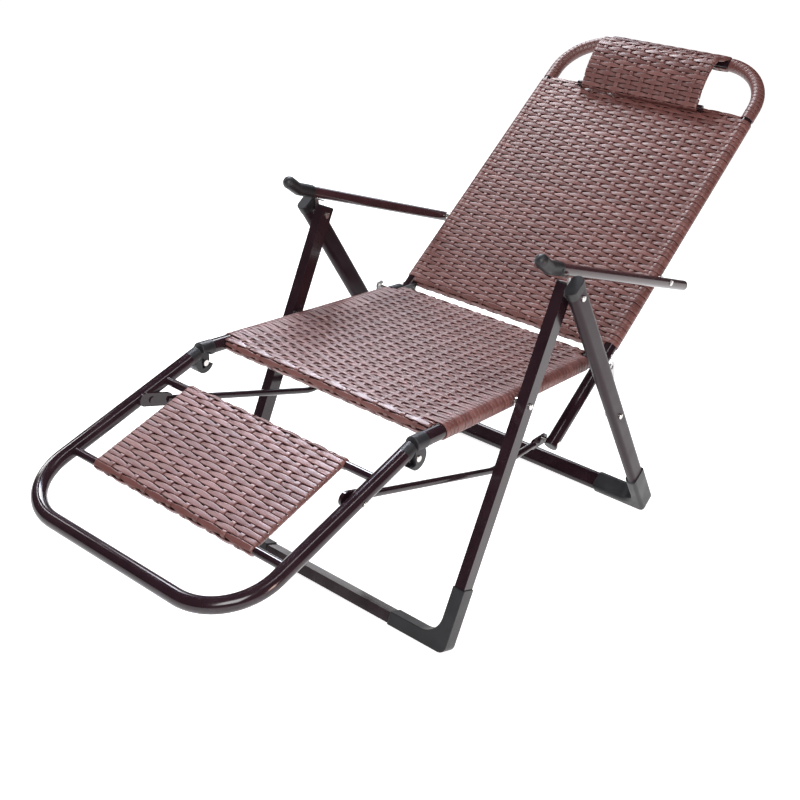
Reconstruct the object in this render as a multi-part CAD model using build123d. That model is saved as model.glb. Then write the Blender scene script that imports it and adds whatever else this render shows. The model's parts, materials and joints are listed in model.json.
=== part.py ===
"""Folding lounge chair with an A-shaped leg frame, a woven seat, back and foot panel."""
import os
from math import cos, radians, sin

from build123d import *

# Angles
QUARTER_TURN = 90.0
HALF_TURN = 180.0

# Leg pivot, the point that the side profile is measured from
PIVOT_Y = -58.57
PIVOT_Z = 598.7

# Side profile, angles in degrees
FRONT_LEG_LEAN = 22.13
REAR_LEG_LEAN = 37.3
SEAT_DROP = 3.5
BACK_LEAN = 38.6
LEG_REST_DROP = 17.7
ARM_DROP = 17.2

# Pivots along their members
SEAT_PIVOT_DOWN = 194.8
STAY_BOLT_DOWN = 373.5
STAY_BOLT_ALONG_SEAT = 280.0
BACK_PIVOT_ALONG_SEAT = 330.3
HINGE_ALONG_SEAT = 262.0
HINGE_BELOW_SEAT = 21.0
HINGE_BELOW_LEG_REST = 18.3
LINK_BOLT_BELOW_BACK = 203.8
LINK_BOLT_ALONG_LEG_REST = 126.0
LINK_BOLT_BELOW_LEG_REST = 4.5
ARM_BOLT_ALONG_BACK = 188.6

# Half widths, from the middle of the chair to each member's axis
FRONT_LEG_X = 261.0
REAR_LEG_X = 289.0
SEAT_RAIL_X = 230.0
LEG_REST_X = 230.0
BACK_TUBE_X = 235.0
ARM_X = 265.0

# Tube sections
ROUND_RADIUS = 12.5
ROUND_WALL = 1.2
FRONT_LEG_WIDTH = 20.0
FRONT_LEG_DEPTH = 28.0
REAR_LEG_WIDTH = 20.0
REAR_LEG_DEPTH = 40.0
LEG_WALL = 1.5
ARM_WIDTH = 20.0
ARM_DEPTH = 20.5
ARM_WALL = 1.5
CROSS_RADIUS = 7.0
CROSS_WALL = 1.2
LINK_RADIUS = 6.0

# Fits
RUNNING_FIT = 0.05
SIDE_GAP = 0.3
SLEEVE_FIT = 0.05
OVERRUN = 5.0

# Bolts
BOLT_RADIUS = 4.0
BOLT_HEAD_RADIUS = 5.5
BOLT_HEAD_DEPTH = 3.5
BOLT_COLLAR_RADIUS = 7.5
SMALL_HEAD_DEPTH = 2.2
RETAINER_DEPTH = 0.8
RETAINER_RADIUS = 6.0

# Legs
FRONT_LEG_TOP = 13.0
REAR_LEG_TOP = 27.0
FRONT_BAR_Z = 15.3
REAR_BAR_Z = 16.8
LEG_TO_BAR_GAP = 3.0
FRONT_RIM_Z = 113.0
REAR_RIM_Z = 112.0
FRONT_BAR_SLEEVE_X = 150.0
REAR_BAR_SLEEVE_X = 178.0
BAR_END_INSET = 26.0
CAP_WALL = 2.0
CAP_CORNER_RADIUS = 14.0
CAP_GUSSET_RADIUS = 35.0
CAP_EDGE_RADIUS = 1.4
REAR_CAP_EDGE_RADIUS = 8.0
FRONT_TOP_CAP_HEIGHT = 3.0
TOP_PLUG_DEPTH = 7.5
REAR_TOP_CAP_HEIGHT = 3.0
REAR_TOP_CAP_SKIRT = 14.0
REAR_TOP_CAP_WALL = 1.2

# Arm bracket on the leg top
BRACKET_THICKNESS = 2.0
BRACKET_WIDTH = 8.0
BRACKET_Y = -5.0
BRACKET_GAP = 0.8
BRACKET_TAB_X = 257.0
BRACKET_FOOT_DOWN = 7.0

# Seat
SEAT_TUBE_FRONT = 241.0
SEAT_TUBE_REAR = 284.0
SEAT_FRONT_BAR = 208.5
SEAT_REAR_BAR = 281.0
SEAT_WRAP_FRONT = 197.0
SEAT_WRAP_REAR = 256.0
WRAP_RADIUS = 14.2
PANEL_THICKNESS = 5.0
PLUG_RADIUS = 13.2
PLUG_INSERT = 8.0
PLUG_FRONT_TIP = 269.0
PLUG_REAR_RING = 258.0
PLUG_REAR_TIP = 293.0
PLUG_EDGE = 2.0
TONGUE_THICKNESS = 4.3
TONGUE_RADIUS = 9.5
TONGUE_ROOT = 276.0

# Seat and leg rest hinge
EAR_RADIUS = 19.5
EAR_THICKNESS = 10.5
EAR_CLEARANCE = 0.4
EAR_NECK = 15.0
PLUG_MEETING_GAP = 0.4

# Back
BACK_LOWER_END = 212.0
BACK_TOP = 738.5
BACK_CORNER_RADIUS = 105.0
BACK_UPPER_BAR = 596.0
BACK_LOWER_BAR = 17.0
BACK_WRAP_RADIUS = 13.7
BACK_PANEL_TOP = 605.0
BACK_PANEL_BOTTOM = 12.0
BACK_WRAP_GAP = 0.4
BACK_PLUG_CLEARANCE = 1.0
BACK_PLUG_FLANGE = 2.0

# Headrest, profile as shares of its span down the back and of its rise over it
HEADREST_HALF_WIDTH = 136.0
HEADREST_THICKNESS = 5.0
HEADREST_BAR_ALONG = 591.0
HEADREST_BAR_HEIGHT = 25.0
HEADREST_BAR_RADIUS = 5.5
HEADREST_WRAP = 2.4
HEADREST_RISE = 66.0
HEADREST_PROFILE_SHARES = (
    (0.105, 0.561), (0.241, 0.879), (0.41, 1.0), (0.586, 0.962), (0.729, 0.879),
    (0.871, 0.742), (0.953, 0.576),
)
POST_X = 141.0
HEADREST_BAR_END = 147.0
POST_RADIUS = 4.0

# Leg rest
LEG_REST_TUBE_REAR = 22.0
LEG_REST_REACH = 395.7
LEG_REST_CORNER_RADIUS = 98.0
LEG_REST_REAR_BAR = 80.9
LEG_REST_FRONT_BAR = 277.9
LEG_REST_PANEL_HALF_WIDTH = 170.0
LEG_REST_PANEL_WRAP = 2.2

# Recline link
LINK_REAR_X = 212.0
LINK_PLATE = 5.0
LINK_END_RADIUS = 9.5
LINK_END_LENGTH = 34.0
LINK_FRONT_END_RADIUS = 11.5
LINK_FRONT_TAIL = 14.0
LINK_BEND_ALONG = 405.0
LINK_BEND_SAG = 34.0
LINK_BEND_RADIUS = 90.0
LINK_OPEN_GAP = 0.4
LINK_HEAD_RADIUS = 5.6
LINK_REAR_HEAD_DEPTH = 1.1
LINK_REAR_HEAD_RADIUS = 6.2

# Stay between the rear leg and the seat rail
STAY_PLATE = 3.0
STAY_GAP = 1.5
STAY_RADIUS = 10.0

# Arm
ARM_LIFT = -3.0
ARM_FRONT = 492.0
ARM_REAR = 88.0
ARM_CAP_LENGTH = 76.0
ARM_CAP_WALL = 1.6
ARM_CAP_BULB = 11.6
ARM_CAP_RISE = 8.0
ARM_CAP_SCREW_RADIUS = 3.0
ARM_CAP_SCREW_DEPTH = 1.2
ARM_CAP_SCREW_INSET = 6.0
ARM_PLUG_DEPTH = 12.0


def along(angle):
    """Unit vector in the side plane, turned from the rear towards up."""
    return Vector(0, cos(radians(angle)), sin(radians(angle)))


def at_x(point, x):
    """The same point of the side profile, moved to a given width."""
    return Vector(x, point.Y, point.Z)


FRONT_DOWN = -QUARTER_TURN - FRONT_LEG_LEAN
REAR_DOWN = -QUARTER_TURN + REAR_LEG_LEAN
SEAT_BACKWARD = -SEAT_DROP
LEG_REST_FORWARD = HALF_TURN + LEG_REST_DROP
ARM_FORWARD = HALF_TURN - ARM_DROP

LEG_PIVOT = Vector(0, PIVOT_Y, PIVOT_Z)
SEAT_PIVOT = LEG_PIVOT + along(FRONT_DOWN) * SEAT_PIVOT_DOWN
STAY_LOW = LEG_PIVOT + along(REAR_DOWN) * STAY_BOLT_DOWN
STAY_HIGH = SEAT_PIVOT + along(SEAT_BACKWARD) * STAY_BOLT_ALONG_SEAT
BACK_PIVOT = SEAT_PIVOT + along(SEAT_BACKWARD) * BACK_PIVOT_ALONG_SEAT
SEAT_UP = along(SEAT_BACKWARD + QUARTER_TURN)
KNEE_HINGE = (
    SEAT_PIVOT - along(SEAT_BACKWARD) * HINGE_ALONG_SEAT - SEAT_UP * HINGE_BELOW_SEAT
)
LEG_REST_UP = along(LEG_REST_FORWARD - QUARTER_TURN)
LEG_REST_AXIS = KNEE_HINGE + LEG_REST_UP * HINGE_BELOW_LEG_REST
LINK_REAR = BACK_PIVOT - along(BACK_LEAN) * LINK_BOLT_BELOW_BACK
LINK_FRONT = (
    LEG_REST_AXIS + along(LEG_REST_FORWARD) * LINK_BOLT_ALONG_LEG_REST
    - LEG_REST_UP * LINK_BOLT_BELOW_LEG_REST
)
ARM_PIVOT = BACK_PIVOT + along(BACK_LEAN) * ARM_BOLT_ALONG_BACK
BACK_UP = along(BACK_LEAN + QUARTER_TURN)
ARM_UP = along(ARM_FORWARD - QUARTER_TURN)
ARM_ORIGIN = ARM_PIVOT + ARM_UP * ARM_LIFT


def section_plane(point, angle):
    """Plane across a member, local x across the chair, local y in the side plane."""
    return Plane(origin=point, x_dir=(1, 0, 0), z_dir=along(angle))


def side_plane(point, angle):
    """Plane parallel to the side profile, local x along the member."""
    return Plane(origin=point, x_dir=along(angle), z_dir=(1, 0, 0))


def rectangle_outline(width, depth, shrink=0.0):
    return Rectangle(width - shrink - shrink, depth - shrink - shrink)


def oval_outline(width, depth, shrink=0.0):
    return SlotOverall(
        depth - shrink - shrink, width - shrink - shrink, rotation=QUARTER_TURN
    )


def straight_solid(start, angle, length, outline):
    return extrude(section_plane(start, angle) * outline, amount=length)


def straight_tube(start, angle, length, outline, width, depth, wall):
    """Hollow straight tube with open ends."""
    solid = straight_solid(start, angle, length, outline(width, depth))
    bore_start = start - along(angle) * OVERRUN
    bore = straight_solid(
        bore_start, angle, length + OVERRUN + OVERRUN, outline(width, depth, wall)
    )
    return solid - bore


def across(point, x_from, x_to, radius):
    """Round bar across the chair between two widths."""
    plane = Plane(origin=at_x(point, x_from), z_dir=(1, 0, 0))
    return extrude(plane * Circle(radius), amount=x_to - x_from)


def cross_tube(point, half_length, radius, wall):
    solid = across(point, -half_length, half_length, radius)
    reach = half_length + OVERRUN
    return solid - across(point, -reach, reach, radius - wall)


def round_along(point, angle, begin, end, radius):
    """Round bar along a member from begin to end, counted from the point."""
    start = point + along(angle) * begin
    plane = Plane(origin=start, x_dir=along(angle + QUARTER_TURN), z_dir=along(angle))
    return extrude(plane * Circle(radius), amount=end - begin)


def rounded_path(corners, radius):
    """Line through the corners with each inner corner rounded."""
    edges = []
    cursor = corners[0]
    for before, corner, after in zip(corners, corners[1:], corners[2:]):
        incoming = (corner - before).normalized()
        outgoing = (after - corner).normalized()
        half_turn = incoming.get_angle(outgoing) * 0.5
        reach = radius * sin(radians(half_turn)) / cos(radians(half_turn))
        enter = corner - incoming * reach
        leave = corner + outgoing * reach
        inward = (outgoing - incoming).normalized()
        middle = corner + inward * (radius / cos(radians(half_turn)) - radius)
        edges.append(Line(cursor, enter))
        edges.append(ThreePointArc(enter, middle, leave))
        cursor = leave
    edges.append(Line(cursor, corners[-1]))
    return Wire(edges)


def swept_round(path, radius):
    start = path @ 0
    section = Plane(origin=start, z_dir=path % 0) * Circle(radius)
    return sweep(section, path=path)


def mirrored(shape):
    return mirror(shape, about=Plane.YZ)


def edge_softened(shape, direction, radius):
    """Round the rim of the face that looks furthest along a direction."""
    face = shape.faces().sort_by(Axis((0, 0, 0), direction))[-1]
    return fillet(face.edges(), radius)


def bolt(point, x_inner, x_outer, collars=()):
    """Bolt across a joint with a low head at each end and collars between."""
    shaft = across(point, x_inner, x_outer, BOLT_RADIUS)
    for x_from, x_to in collars:
        shaft += across(point, x_from, x_to, BOLT_COLLAR_RADIUS)
    return shaft


def domed_head(point, x_face, depth, radius):
    """Round bolt head standing outward from a face at x_face."""
    disc = across(point, x_face, x_face + depth, radius)
    return edge_softened(disc, (1, 0, 0), depth * 0.5)


def hole(point, x_from, x_to, radius):
    return across(point, x_from, x_to, radius + RUNNING_FIT)


# Front legs


def leg_solid(angle, x, begin, end, outline, width, depth, wall):
    start = at_x(LEG_PIVOT, x) + along(angle) * begin
    return straight_tube(start, angle, end - begin, outline, width, depth, wall)


def bar_distance(angle, height):
    """Distance down a leg to the height of its floor bar."""
    return (PIVOT_Z - height) / -along(angle).Z


FRONT_BAR_DOWN = bar_distance(FRONT_DOWN, FRONT_BAR_Z)
REAR_BAR_DOWN = bar_distance(REAR_DOWN, REAR_BAR_Z)
FRONT_OUTER_X = FRONT_LEG_X + FRONT_LEG_WIDTH * 0.5
FRONT_INNER_X = FRONT_LEG_X - FRONT_LEG_WIDTH * 0.5
REAR_OUTER_X = REAR_LEG_X + REAR_LEG_WIDTH * 0.5
REAR_INNER_X = REAR_LEG_X - REAR_LEG_WIDTH * 0.5


def front_leg():
    end = FRONT_BAR_DOWN - FRONT_LEG_WIDTH * 0.5 - LEG_TO_BAR_GAP
    leg = leg_solid(
        FRONT_DOWN, FRONT_LEG_X, -FRONT_LEG_TOP, end,
        rectangle_outline, FRONT_LEG_WIDTH, FRONT_LEG_DEPTH, LEG_WALL,
    )
    inner = FRONT_INNER_X - OVERRUN
    outer = FRONT_OUTER_X + OVERRUN
    leg -= hole(LEG_PIVOT, inner, outer, BOLT_RADIUS)
    return leg - hole(SEAT_PIVOT, inner, outer, BOLT_RADIUS)


def floor_bar(angle, down, half_length, outline, width, depth):
    """Hollow bar across the chair that joins the two legs near the floor."""
    centre = LEG_PIVOT + along(angle) * down
    plane = Plane(
        origin=at_x(centre, -half_length), x_dir=along(angle), z_dir=(1, 0, 0)
    )
    length = half_length + half_length
    solid = extrude(plane * outline(width, depth), amount=length)
    bore_plane = plane.offset(-OVERRUN)
    bore = extrude(
        bore_plane * outline(width, depth, LEG_WALL), amount=length + OVERRUN + OVERRUN
    )
    return solid - bore


def frame_plane(angle):
    """Plane that holds a leg pair, local x across the chair, local y up the legs."""
    up = along(angle + HALF_TURN)
    return Plane(origin=LEG_PIVOT, x_dir=(1, 0, 0), z_dir=Vector(1, 0, 0).cross(up))


def foot_outline(leg_x, width, bar_down, rim_z, sleeve_x, angle):
    """Elbow outline in the frame plane, with a rounded gusset and outer corner."""
    outer = leg_x + width * 0.5 + CAP_WALL
    inner = leg_x - width * 0.5 - CAP_WALL
    bottom = -bar_down - width * 0.5 - CAP_WALL
    top = -bar_down + width * 0.5 + CAP_WALL
    rim = -bar_distance(angle, rim_z)
    corners = [
        (sleeve_x, bottom), (outer, bottom), (outer, rim),
        (inner, rim), (inner, top), (sleeve_x, top),
    ]
    outline = make_face(Polyline(*corners, close=True))
    gusset = outline.vertices().sort_by_distance((inner, top))[0]
    outline = fillet(gusset, CAP_GUSSET_RADIUS)
    corner = outline.vertices().sort_by_distance((outer, bottom))[0]
    return fillet(corner, CAP_CORNER_RADIUS)


def foot_cap(angle, leg_x, width, depth, bar_down, rim_z, sleeve_x, outline, edge):
    """Elbow cap with a socket for the leg and one for the floor bar."""
    shape = foot_outline(leg_x, width, bar_down, rim_z, sleeve_x, angle)
    thick = depth * 0.5 + CAP_WALL
    body = extrude(frame_plane(angle) * shape, amount=thick, both=True)
    normal = along(angle + QUARTER_TURN)
    faces = body.faces().sort_by(Axis((0, 0, 0), normal))
    body = fillet(faces[0].edges() + faces[-1].edges(), edge)
    fit = -SLEEVE_FIT
    leg_end = bar_down - width * 0.5 - LEG_TO_BAR_GAP
    leg_top = at_x(LEG_PIVOT, leg_x) + along(angle) * SEAT_PIVOT_DOWN
    leg_room = straight_solid(
        leg_top, angle, leg_end - SEAT_PIVOT_DOWN, outline(width, depth, fit)
    )
    bar_plane = Plane(
        origin=LEG_PIVOT + along(angle) * bar_down, x_dir=along(angle), z_dir=(1, 0, 0)
    )
    bar_end = leg_x - BAR_END_INSET
    bar_room = extrude(bar_plane * outline(width, depth, fit), amount=bar_end)
    below = Box(
        REAR_LEG_X + REAR_LEG_X, BACK_TOP + BACK_TOP, CAP_CORNER_RADIUS,
        align=(Align.MIN, Align.CENTER, Align.MAX),
    )
    return body - leg_room - bar_room - below


def front_foot_cap():
    return foot_cap(
        FRONT_DOWN, FRONT_LEG_X, FRONT_LEG_WIDTH, FRONT_LEG_DEPTH, FRONT_BAR_DOWN,
        FRONT_RIM_Z, FRONT_BAR_SLEEVE_X, rectangle_outline, CAP_EDGE_RADIUS,
    )


def rear_foot_cap():
    return foot_cap(
        REAR_DOWN, REAR_LEG_X, REAR_LEG_WIDTH, REAR_LEG_DEPTH, REAR_BAR_DOWN,
        REAR_RIM_Z, REAR_BAR_SLEEVE_X, oval_outline, REAR_CAP_EDGE_RADIUS,
    )


def front_top_cap():
    """Flat cap with a plug that fills the open top of the front leg."""
    top = at_x(LEG_PIVOT, FRONT_LEG_X) - along(FRONT_DOWN) * FRONT_LEG_TOP
    up = FRONT_DOWN + HALF_TURN
    outline = rectangle_outline(FRONT_LEG_WIDTH, FRONT_LEG_DEPTH)
    head = straight_solid(top, up, FRONT_TOP_CAP_HEIGHT, outline)
    head = edge_softened(head, along(up), FRONT_TOP_CAP_HEIGHT * 0.5)
    bore = rectangle_outline(FRONT_LEG_WIDTH, FRONT_LEG_DEPTH, LEG_WALL + SLEEVE_FIT)
    plug = straight_solid(top, FRONT_DOWN, TOP_PLUG_DEPTH, bore)
    return head + plug


def leg_pivot_bolt():
    """Bolt that joins the leg pair, with the sleeve that keeps them apart."""
    inner_head = across(
        LEG_PIVOT, FRONT_INNER_X - SMALL_HEAD_DEPTH, FRONT_INNER_X, BOLT_HEAD_RADIUS
    )
    collar = (FRONT_OUTER_X + BRACKET_THICKNESS, REAR_INNER_X - SIDE_GAP)
    shaft = bolt(LEG_PIVOT, FRONT_INNER_X, REAR_OUTER_X + SIDE_GAP, [collar])
    head = domed_head(
        LEG_PIVOT, REAR_OUTER_X + SIDE_GAP, BOLT_HEAD_DEPTH, BOLT_HEAD_RADIUS
    )
    return inner_head + shaft + head


def arm_underside(y_offset):
    """Point on the lower face of the arm tube above a given distance from the pivot."""
    lower = ARM_ORIGIN - ARM_UP * (ARM_DEPTH * 0.5)
    reach = (PIVOT_Y + y_offset - lower.Y) / along(ARM_FORWARD).Y
    return lower + along(ARM_FORWARD) * reach


def arm_bracket():
    """Plate on the leg's outer face whose bent top carries the arm."""
    top = arm_underside(BRACKET_Y) - ARM_UP * BRACKET_GAP
    under = top - ARM_UP * BRACKET_THICKNESS
    foot = LEG_PIVOT - Vector(0, 0, BRACKET_FOOT_DOWN)
    half_foot = Vector(0, BRACKET_WIDTH * 0.5, 0)
    half_top = along(ARM_FORWARD) * (BRACKET_WIDTH * 0.5)
    corners = (foot - half_foot, foot + half_foot, under - half_top, under + half_top)
    outline = Polyline(*[at_x(corner, FRONT_OUTER_X) for corner in corners], close=True)
    plate = extrude(make_face(outline), amount=BRACKET_THICKNESS, dir=(1, 0, 0))
    tab_plane = Plane(origin=at_x(top, 0), x_dir=(1, 0, 0), z_dir=ARM_UP)
    tab_outer = FRONT_OUTER_X + BRACKET_THICKNESS
    tab = extrude(
        tab_plane * Pos((BRACKET_TAB_X + tab_outer) * 0.5, 0)
        * Rectangle(tab_outer - BRACKET_TAB_X, BRACKET_WIDTH),
        amount=-BRACKET_THICKNESS,
    )
    return plate + tab - hole(LEG_PIVOT, FRONT_INNER_X, REAR_INNER_X, BOLT_RADIUS)


# Rear legs


def rear_leg():
    end = REAR_BAR_DOWN - REAR_LEG_WIDTH * 0.5 - LEG_TO_BAR_GAP
    leg = leg_solid(
        REAR_DOWN, REAR_LEG_X, -REAR_LEG_TOP, end,
        oval_outline, REAR_LEG_WIDTH, REAR_LEG_DEPTH, LEG_WALL,
    )
    inner = REAR_INNER_X - OVERRUN
    outer = REAR_OUTER_X + OVERRUN
    leg -= hole(LEG_PIVOT, inner, outer, BOLT_RADIUS)
    return leg - hole(STAY_LOW, inner, outer, BOLT_RADIUS)


def rear_top_cap():
    """Flat oval cap with a skirt round the open top of the rear leg."""
    top = at_x(LEG_PIVOT, REAR_LEG_X) - along(REAR_DOWN) * REAR_LEG_TOP
    up = REAR_DOWN + HALF_TURN
    length = REAR_TOP_CAP_SKIRT + REAR_TOP_CAP_HEIGHT
    skirt = top - along(up) * REAR_TOP_CAP_SKIRT
    outline = oval_outline(REAR_LEG_WIDTH, REAR_LEG_DEPTH, -REAR_TOP_CAP_WALL)
    body = straight_solid(skirt, up, length, outline)
    body = edge_softened(body, along(up), REAR_TOP_CAP_HEIGHT * 0.5)
    room = oval_outline(REAR_LEG_WIDTH, REAR_LEG_DEPTH, -SLEEVE_FIT)
    return body - straight_solid(
        skirt - along(up) * OVERRUN, up, REAR_TOP_CAP_SKIRT + OVERRUN, room
    )


def stay_bolt():
    """Bolt through the rear leg that carries the stay."""
    plate_outer = FRONT_OUTER_X + STAY_GAP + STAY_PLATE
    plate_inner = FRONT_OUTER_X + STAY_GAP
    collar = (plate_outer + SIDE_GAP, REAR_INNER_X)
    shaft = bolt(STAY_LOW, plate_inner - SIDE_GAP, REAR_OUTER_X, [collar])
    retainer = across(
        STAY_LOW, plate_inner - SIDE_GAP - RETAINER_DEPTH, plate_inner - SIDE_GAP,
        RETAINER_RADIUS,
    )
    head = domed_head(STAY_LOW, REAR_OUTER_X, BOLT_HEAD_DEPTH, BOLT_HEAD_RADIUS)
    return shaft + retainer + head


def link_plate(start, end, x, thickness, radius):
    """Flat bar with round ends between two pivots, flat in the side plane."""
    middle = (start + end) * 0.5
    direction = end - start
    plane = Plane(origin=at_x(middle, x), x_dir=direction, z_dir=(1, 0, 0))
    return extrude(plane * SlotCenterToCenter(direction.length, radius + radius),
                   amount=thickness)


def stay_link():
    plate = link_plate(
        STAY_LOW, STAY_HIGH, FRONT_OUTER_X + STAY_GAP, STAY_PLATE, STAY_RADIUS
    )
    for point in (STAY_LOW, STAY_HIGH):
        plate -= hole(point, FRONT_OUTER_X, REAR_INNER_X, BOLT_RADIUS)
    return plate


# Seat


def seat_rail():
    start = at_x(SEAT_PIVOT, SEAT_RAIL_X)
    rail = round_along(start, SEAT_BACKWARD, -SEAT_TUBE_FRONT, SEAT_TUBE_REAR, ROUND_RADIUS)
    rail -= round_along(
        start, SEAT_BACKWARD, -SEAT_TUBE_FRONT - OVERRUN, SEAT_TUBE_REAR + OVERRUN,
        ROUND_RADIUS - ROUND_WALL,
    )
    return rail - hole(SEAT_PIVOT, SEAT_RAIL_X, FRONT_INNER_X, BOLT_RADIUS)


def seat_cross_bar(distance, saddle_radius):
    """Cross bar between the rails, its ends saddled to them."""
    point = SEAT_PIVOT + along(SEAT_BACKWARD) * distance
    bar = cross_tube(point, SEAT_RAIL_X, CROSS_RADIUS, CROSS_WALL)
    for x in (-SEAT_RAIL_X, SEAT_RAIL_X):
        reach = abs(distance) + saddle_radius + saddle_radius
        bar -= round_along(
            at_x(SEAT_PIVOT, x), SEAT_BACKWARD, -reach, reach, saddle_radius
        )
    return bar


def panel_with_sleeves(origin, angle, half_width, begin, end, wrap_begin, wrap_end, wrap):
    """Woven panel over a pair of rails, with the sleeve that it wraps round each."""
    shape = None
    for x in (-half_width, half_width):
        sleeve = round_along(at_x(origin, x), angle, wrap_begin, wrap_end, wrap)
        shape = sleeve if shape is None else shape + sleeve
    up = along(angle + QUARTER_TURN)
    middle = origin + along(angle) * ((begin + end) * 0.5) + up * (wrap - PANEL_THICKNESS)
    plane = Plane(origin=middle, x_dir=(1, 0, 0), z_dir=up)
    shape += extrude(
        plane * Rectangle(half_width + half_width, end - begin), amount=PANEL_THICKNESS
    )
    reach = half_width + half_width + end - begin
    for x in (-half_width, half_width):
        shape -= round_along(
            at_x(origin, x), angle, -reach, reach, ROUND_RADIUS + SLEEVE_FIT
        )
    return shape


def seat_weave():
    weave = panel_with_sleeves(
        SEAT_PIVOT, SEAT_BACKWARD, SEAT_RAIL_X, -SEAT_FRONT_BAR, SEAT_REAR_BAR,
        -SEAT_WRAP_FRONT, SEAT_WRAP_REAR, WRAP_RADIUS,
    )
    half = SEAT_RAIL_X - WRAP_RADIUS - BACK_WRAP_GAP
    for distance in (-SEAT_FRONT_BAR, SEAT_REAR_BAR):
        point = SEAT_PIVOT + along(SEAT_BACKWARD) * distance
        weave += across(point, -half, half, CROSS_RADIUS + HEADREST_WRAP)
        weave += weave_drop(point, SEAT_UP, half, distance)
        reach = SEAT_RAIL_X + OVERRUN
        weave -= across(point, -reach, reach, CROSS_RADIUS + SLEEVE_FIT)
    for x in (-SEAT_RAIL_X, SEAT_RAIL_X):
        start = at_x(SEAT_PIVOT, x)
        weave -= round_along(
            start, SEAT_BACKWARD, SEAT_WRAP_REAR + SIDE_GAP,
            SEAT_REAR_BAR + WRAP_RADIUS + WRAP_RADIUS, PLUG_RADIUS + HEADREST_WRAP,
        )
    for x_from in (SEAT_RAIL_X, -FRONT_INNER_X):
        x_to = x_from + FRONT_INNER_X - SEAT_RAIL_X
        weave -= across(SEAT_PIVOT, x_from, x_to, BOLT_COLLAR_RADIUS + SLEEVE_FIT)
    return weave


def weave_drop(point, up, half, distance):
    """Web that joins the sheet on top to the roll round an end bar."""
    rise = WRAP_RADIUS - PANEL_THICKNESS
    sign = 1 if distance > 0 else -1
    thickness = HEADREST_WRAP
    centre = point + up * (rise * 0.5)
    normal = up.cross(Vector(sign, 0, 0))
    plane = Plane(origin=centre, x_dir=(1, 0, 0), z_dir=normal)
    return extrude(
        plane * Rectangle(half + half, rise + thickness),
        amount=CROSS_RADIUS + HEADREST_WRAP,
    )


def seat_front_plug():
    """Cap on the rail's front end with the ear that hangs down to the hinge."""
    start = at_x(SEAT_PIVOT, SEAT_RAIL_X)
    front = round_along(start, SEAT_BACKWARD, -PLUG_FRONT_TIP, -SEAT_TUBE_FRONT, PLUG_RADIUS)
    front = edge_softened(front, -along(SEAT_BACKWARD), PLUG_EDGE)
    ear = hinge_ear(SEAT_RAIL_X, SEAT_BACKWARD, 1)
    plug = front + ear
    plug -= round_along(
        start, SEAT_BACKWARD, -SEAT_TUBE_FRONT, OVERRUN, ROUND_RADIUS + SLEEVE_FIT
    )
    plug += round_along(
        start, SEAT_BACKWARD, -SEAT_TUBE_FRONT, PLUG_INSERT - SEAT_TUBE_FRONT,
        ROUND_RADIUS - ROUND_WALL - SLEEVE_FIT,
    )
    plug -= across(
        KNEE_HINGE, SEAT_RAIL_X - EAR_THICKNESS - EAR_THICKNESS, SEAT_RAIL_X,
        EAR_RADIUS + EAR_CLEARANCE,
    )
    plug -= meeting_cut(1)
    return plug - hole(KNEE_HINGE, SEAT_RAIL_X - OVERRUN, FRONT_INNER_X, BOLT_RADIUS)


def meeting_line():
    """Angle of the face where the two plugs meet, halfway between their members."""
    return (SEAT_BACKWARD + LEG_REST_FORWARD - HALF_TURN) * 0.5


def meeting_cut(sign):
    """Half space on the far side of the face where the two plugs meet."""
    angle = meeting_line()
    high = KNEE_HINGE + along(angle + QUARTER_TURN) * (EAR_RADIUS + EAR_CLEARANCE)
    start = high - along(angle) * (PLUG_FRONT_TIP - HINGE_ALONG_SEAT)
    start += along(angle) * (sign * PLUG_MEETING_GAP * 0.5)
    size = PLUG_RADIUS + PLUG_RADIUS + PLUG_RADIUS
    toward = angle + HALF_TURN if sign > 0 else angle
    return extrude(
        section_plane(at_x(start, SEAT_RAIL_X), toward)
        * Rectangle(size, EAR_RADIUS + EAR_RADIUS + EAR_RADIUS),
        amount=size,
    )


def hinge_ear(x, angle, sign):
    """Disc round the hinge with a neck up to its plug, on one side of the middle."""
    offset = 0 if sign > 0 else -EAR_THICKNESS
    disc = across(KNEE_HINGE, x + offset, x + offset + EAR_THICKNESS, EAR_RADIUS)
    neck_plane = side_plane(at_x(KNEE_HINGE, x + offset), angle)
    shift = EAR_NECK * 0.5 * (1 if sign > 0 else -1)
    neck = extrude(
        neck_plane * Pos(shift, EAR_NECK * 0.5) * Rectangle(EAR_NECK, EAR_NECK),
        amount=EAR_THICKNESS,
    )
    return disc + neck


def seat_rear_plug():
    """Cap on the rail's rear end with the tongue that carries the back."""
    start = at_x(SEAT_PIVOT, SEAT_RAIL_X)
    plug = round_along(start, SEAT_BACKWARD, PLUG_REAR_RING, PLUG_REAR_TIP, PLUG_RADIUS)
    plug = edge_softened(plug, along(SEAT_BACKWARD), PLUG_EDGE)
    tongue_outer = BACK_TUBE_X - ROUND_RADIUS - SIDE_GAP
    root = SEAT_PIVOT + along(SEAT_BACKWARD) * TONGUE_ROOT
    plug += link_plate(
        root, BACK_PIVOT, tongue_outer - TONGUE_THICKNESS, TONGUE_THICKNESS, TONGUE_RADIUS
    )
    plug -= round_along(
        start, SEAT_BACKWARD, 0, SEAT_TUBE_REAR, ROUND_RADIUS + SLEEVE_FIT
    )
    plug -= hole(STAY_HIGH, SEAT_RAIL_X, FRONT_INNER_X, BOLT_RADIUS)
    return plug - hole(BACK_PIVOT, 0, FRONT_INNER_X, BOLT_RADIUS)


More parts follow.
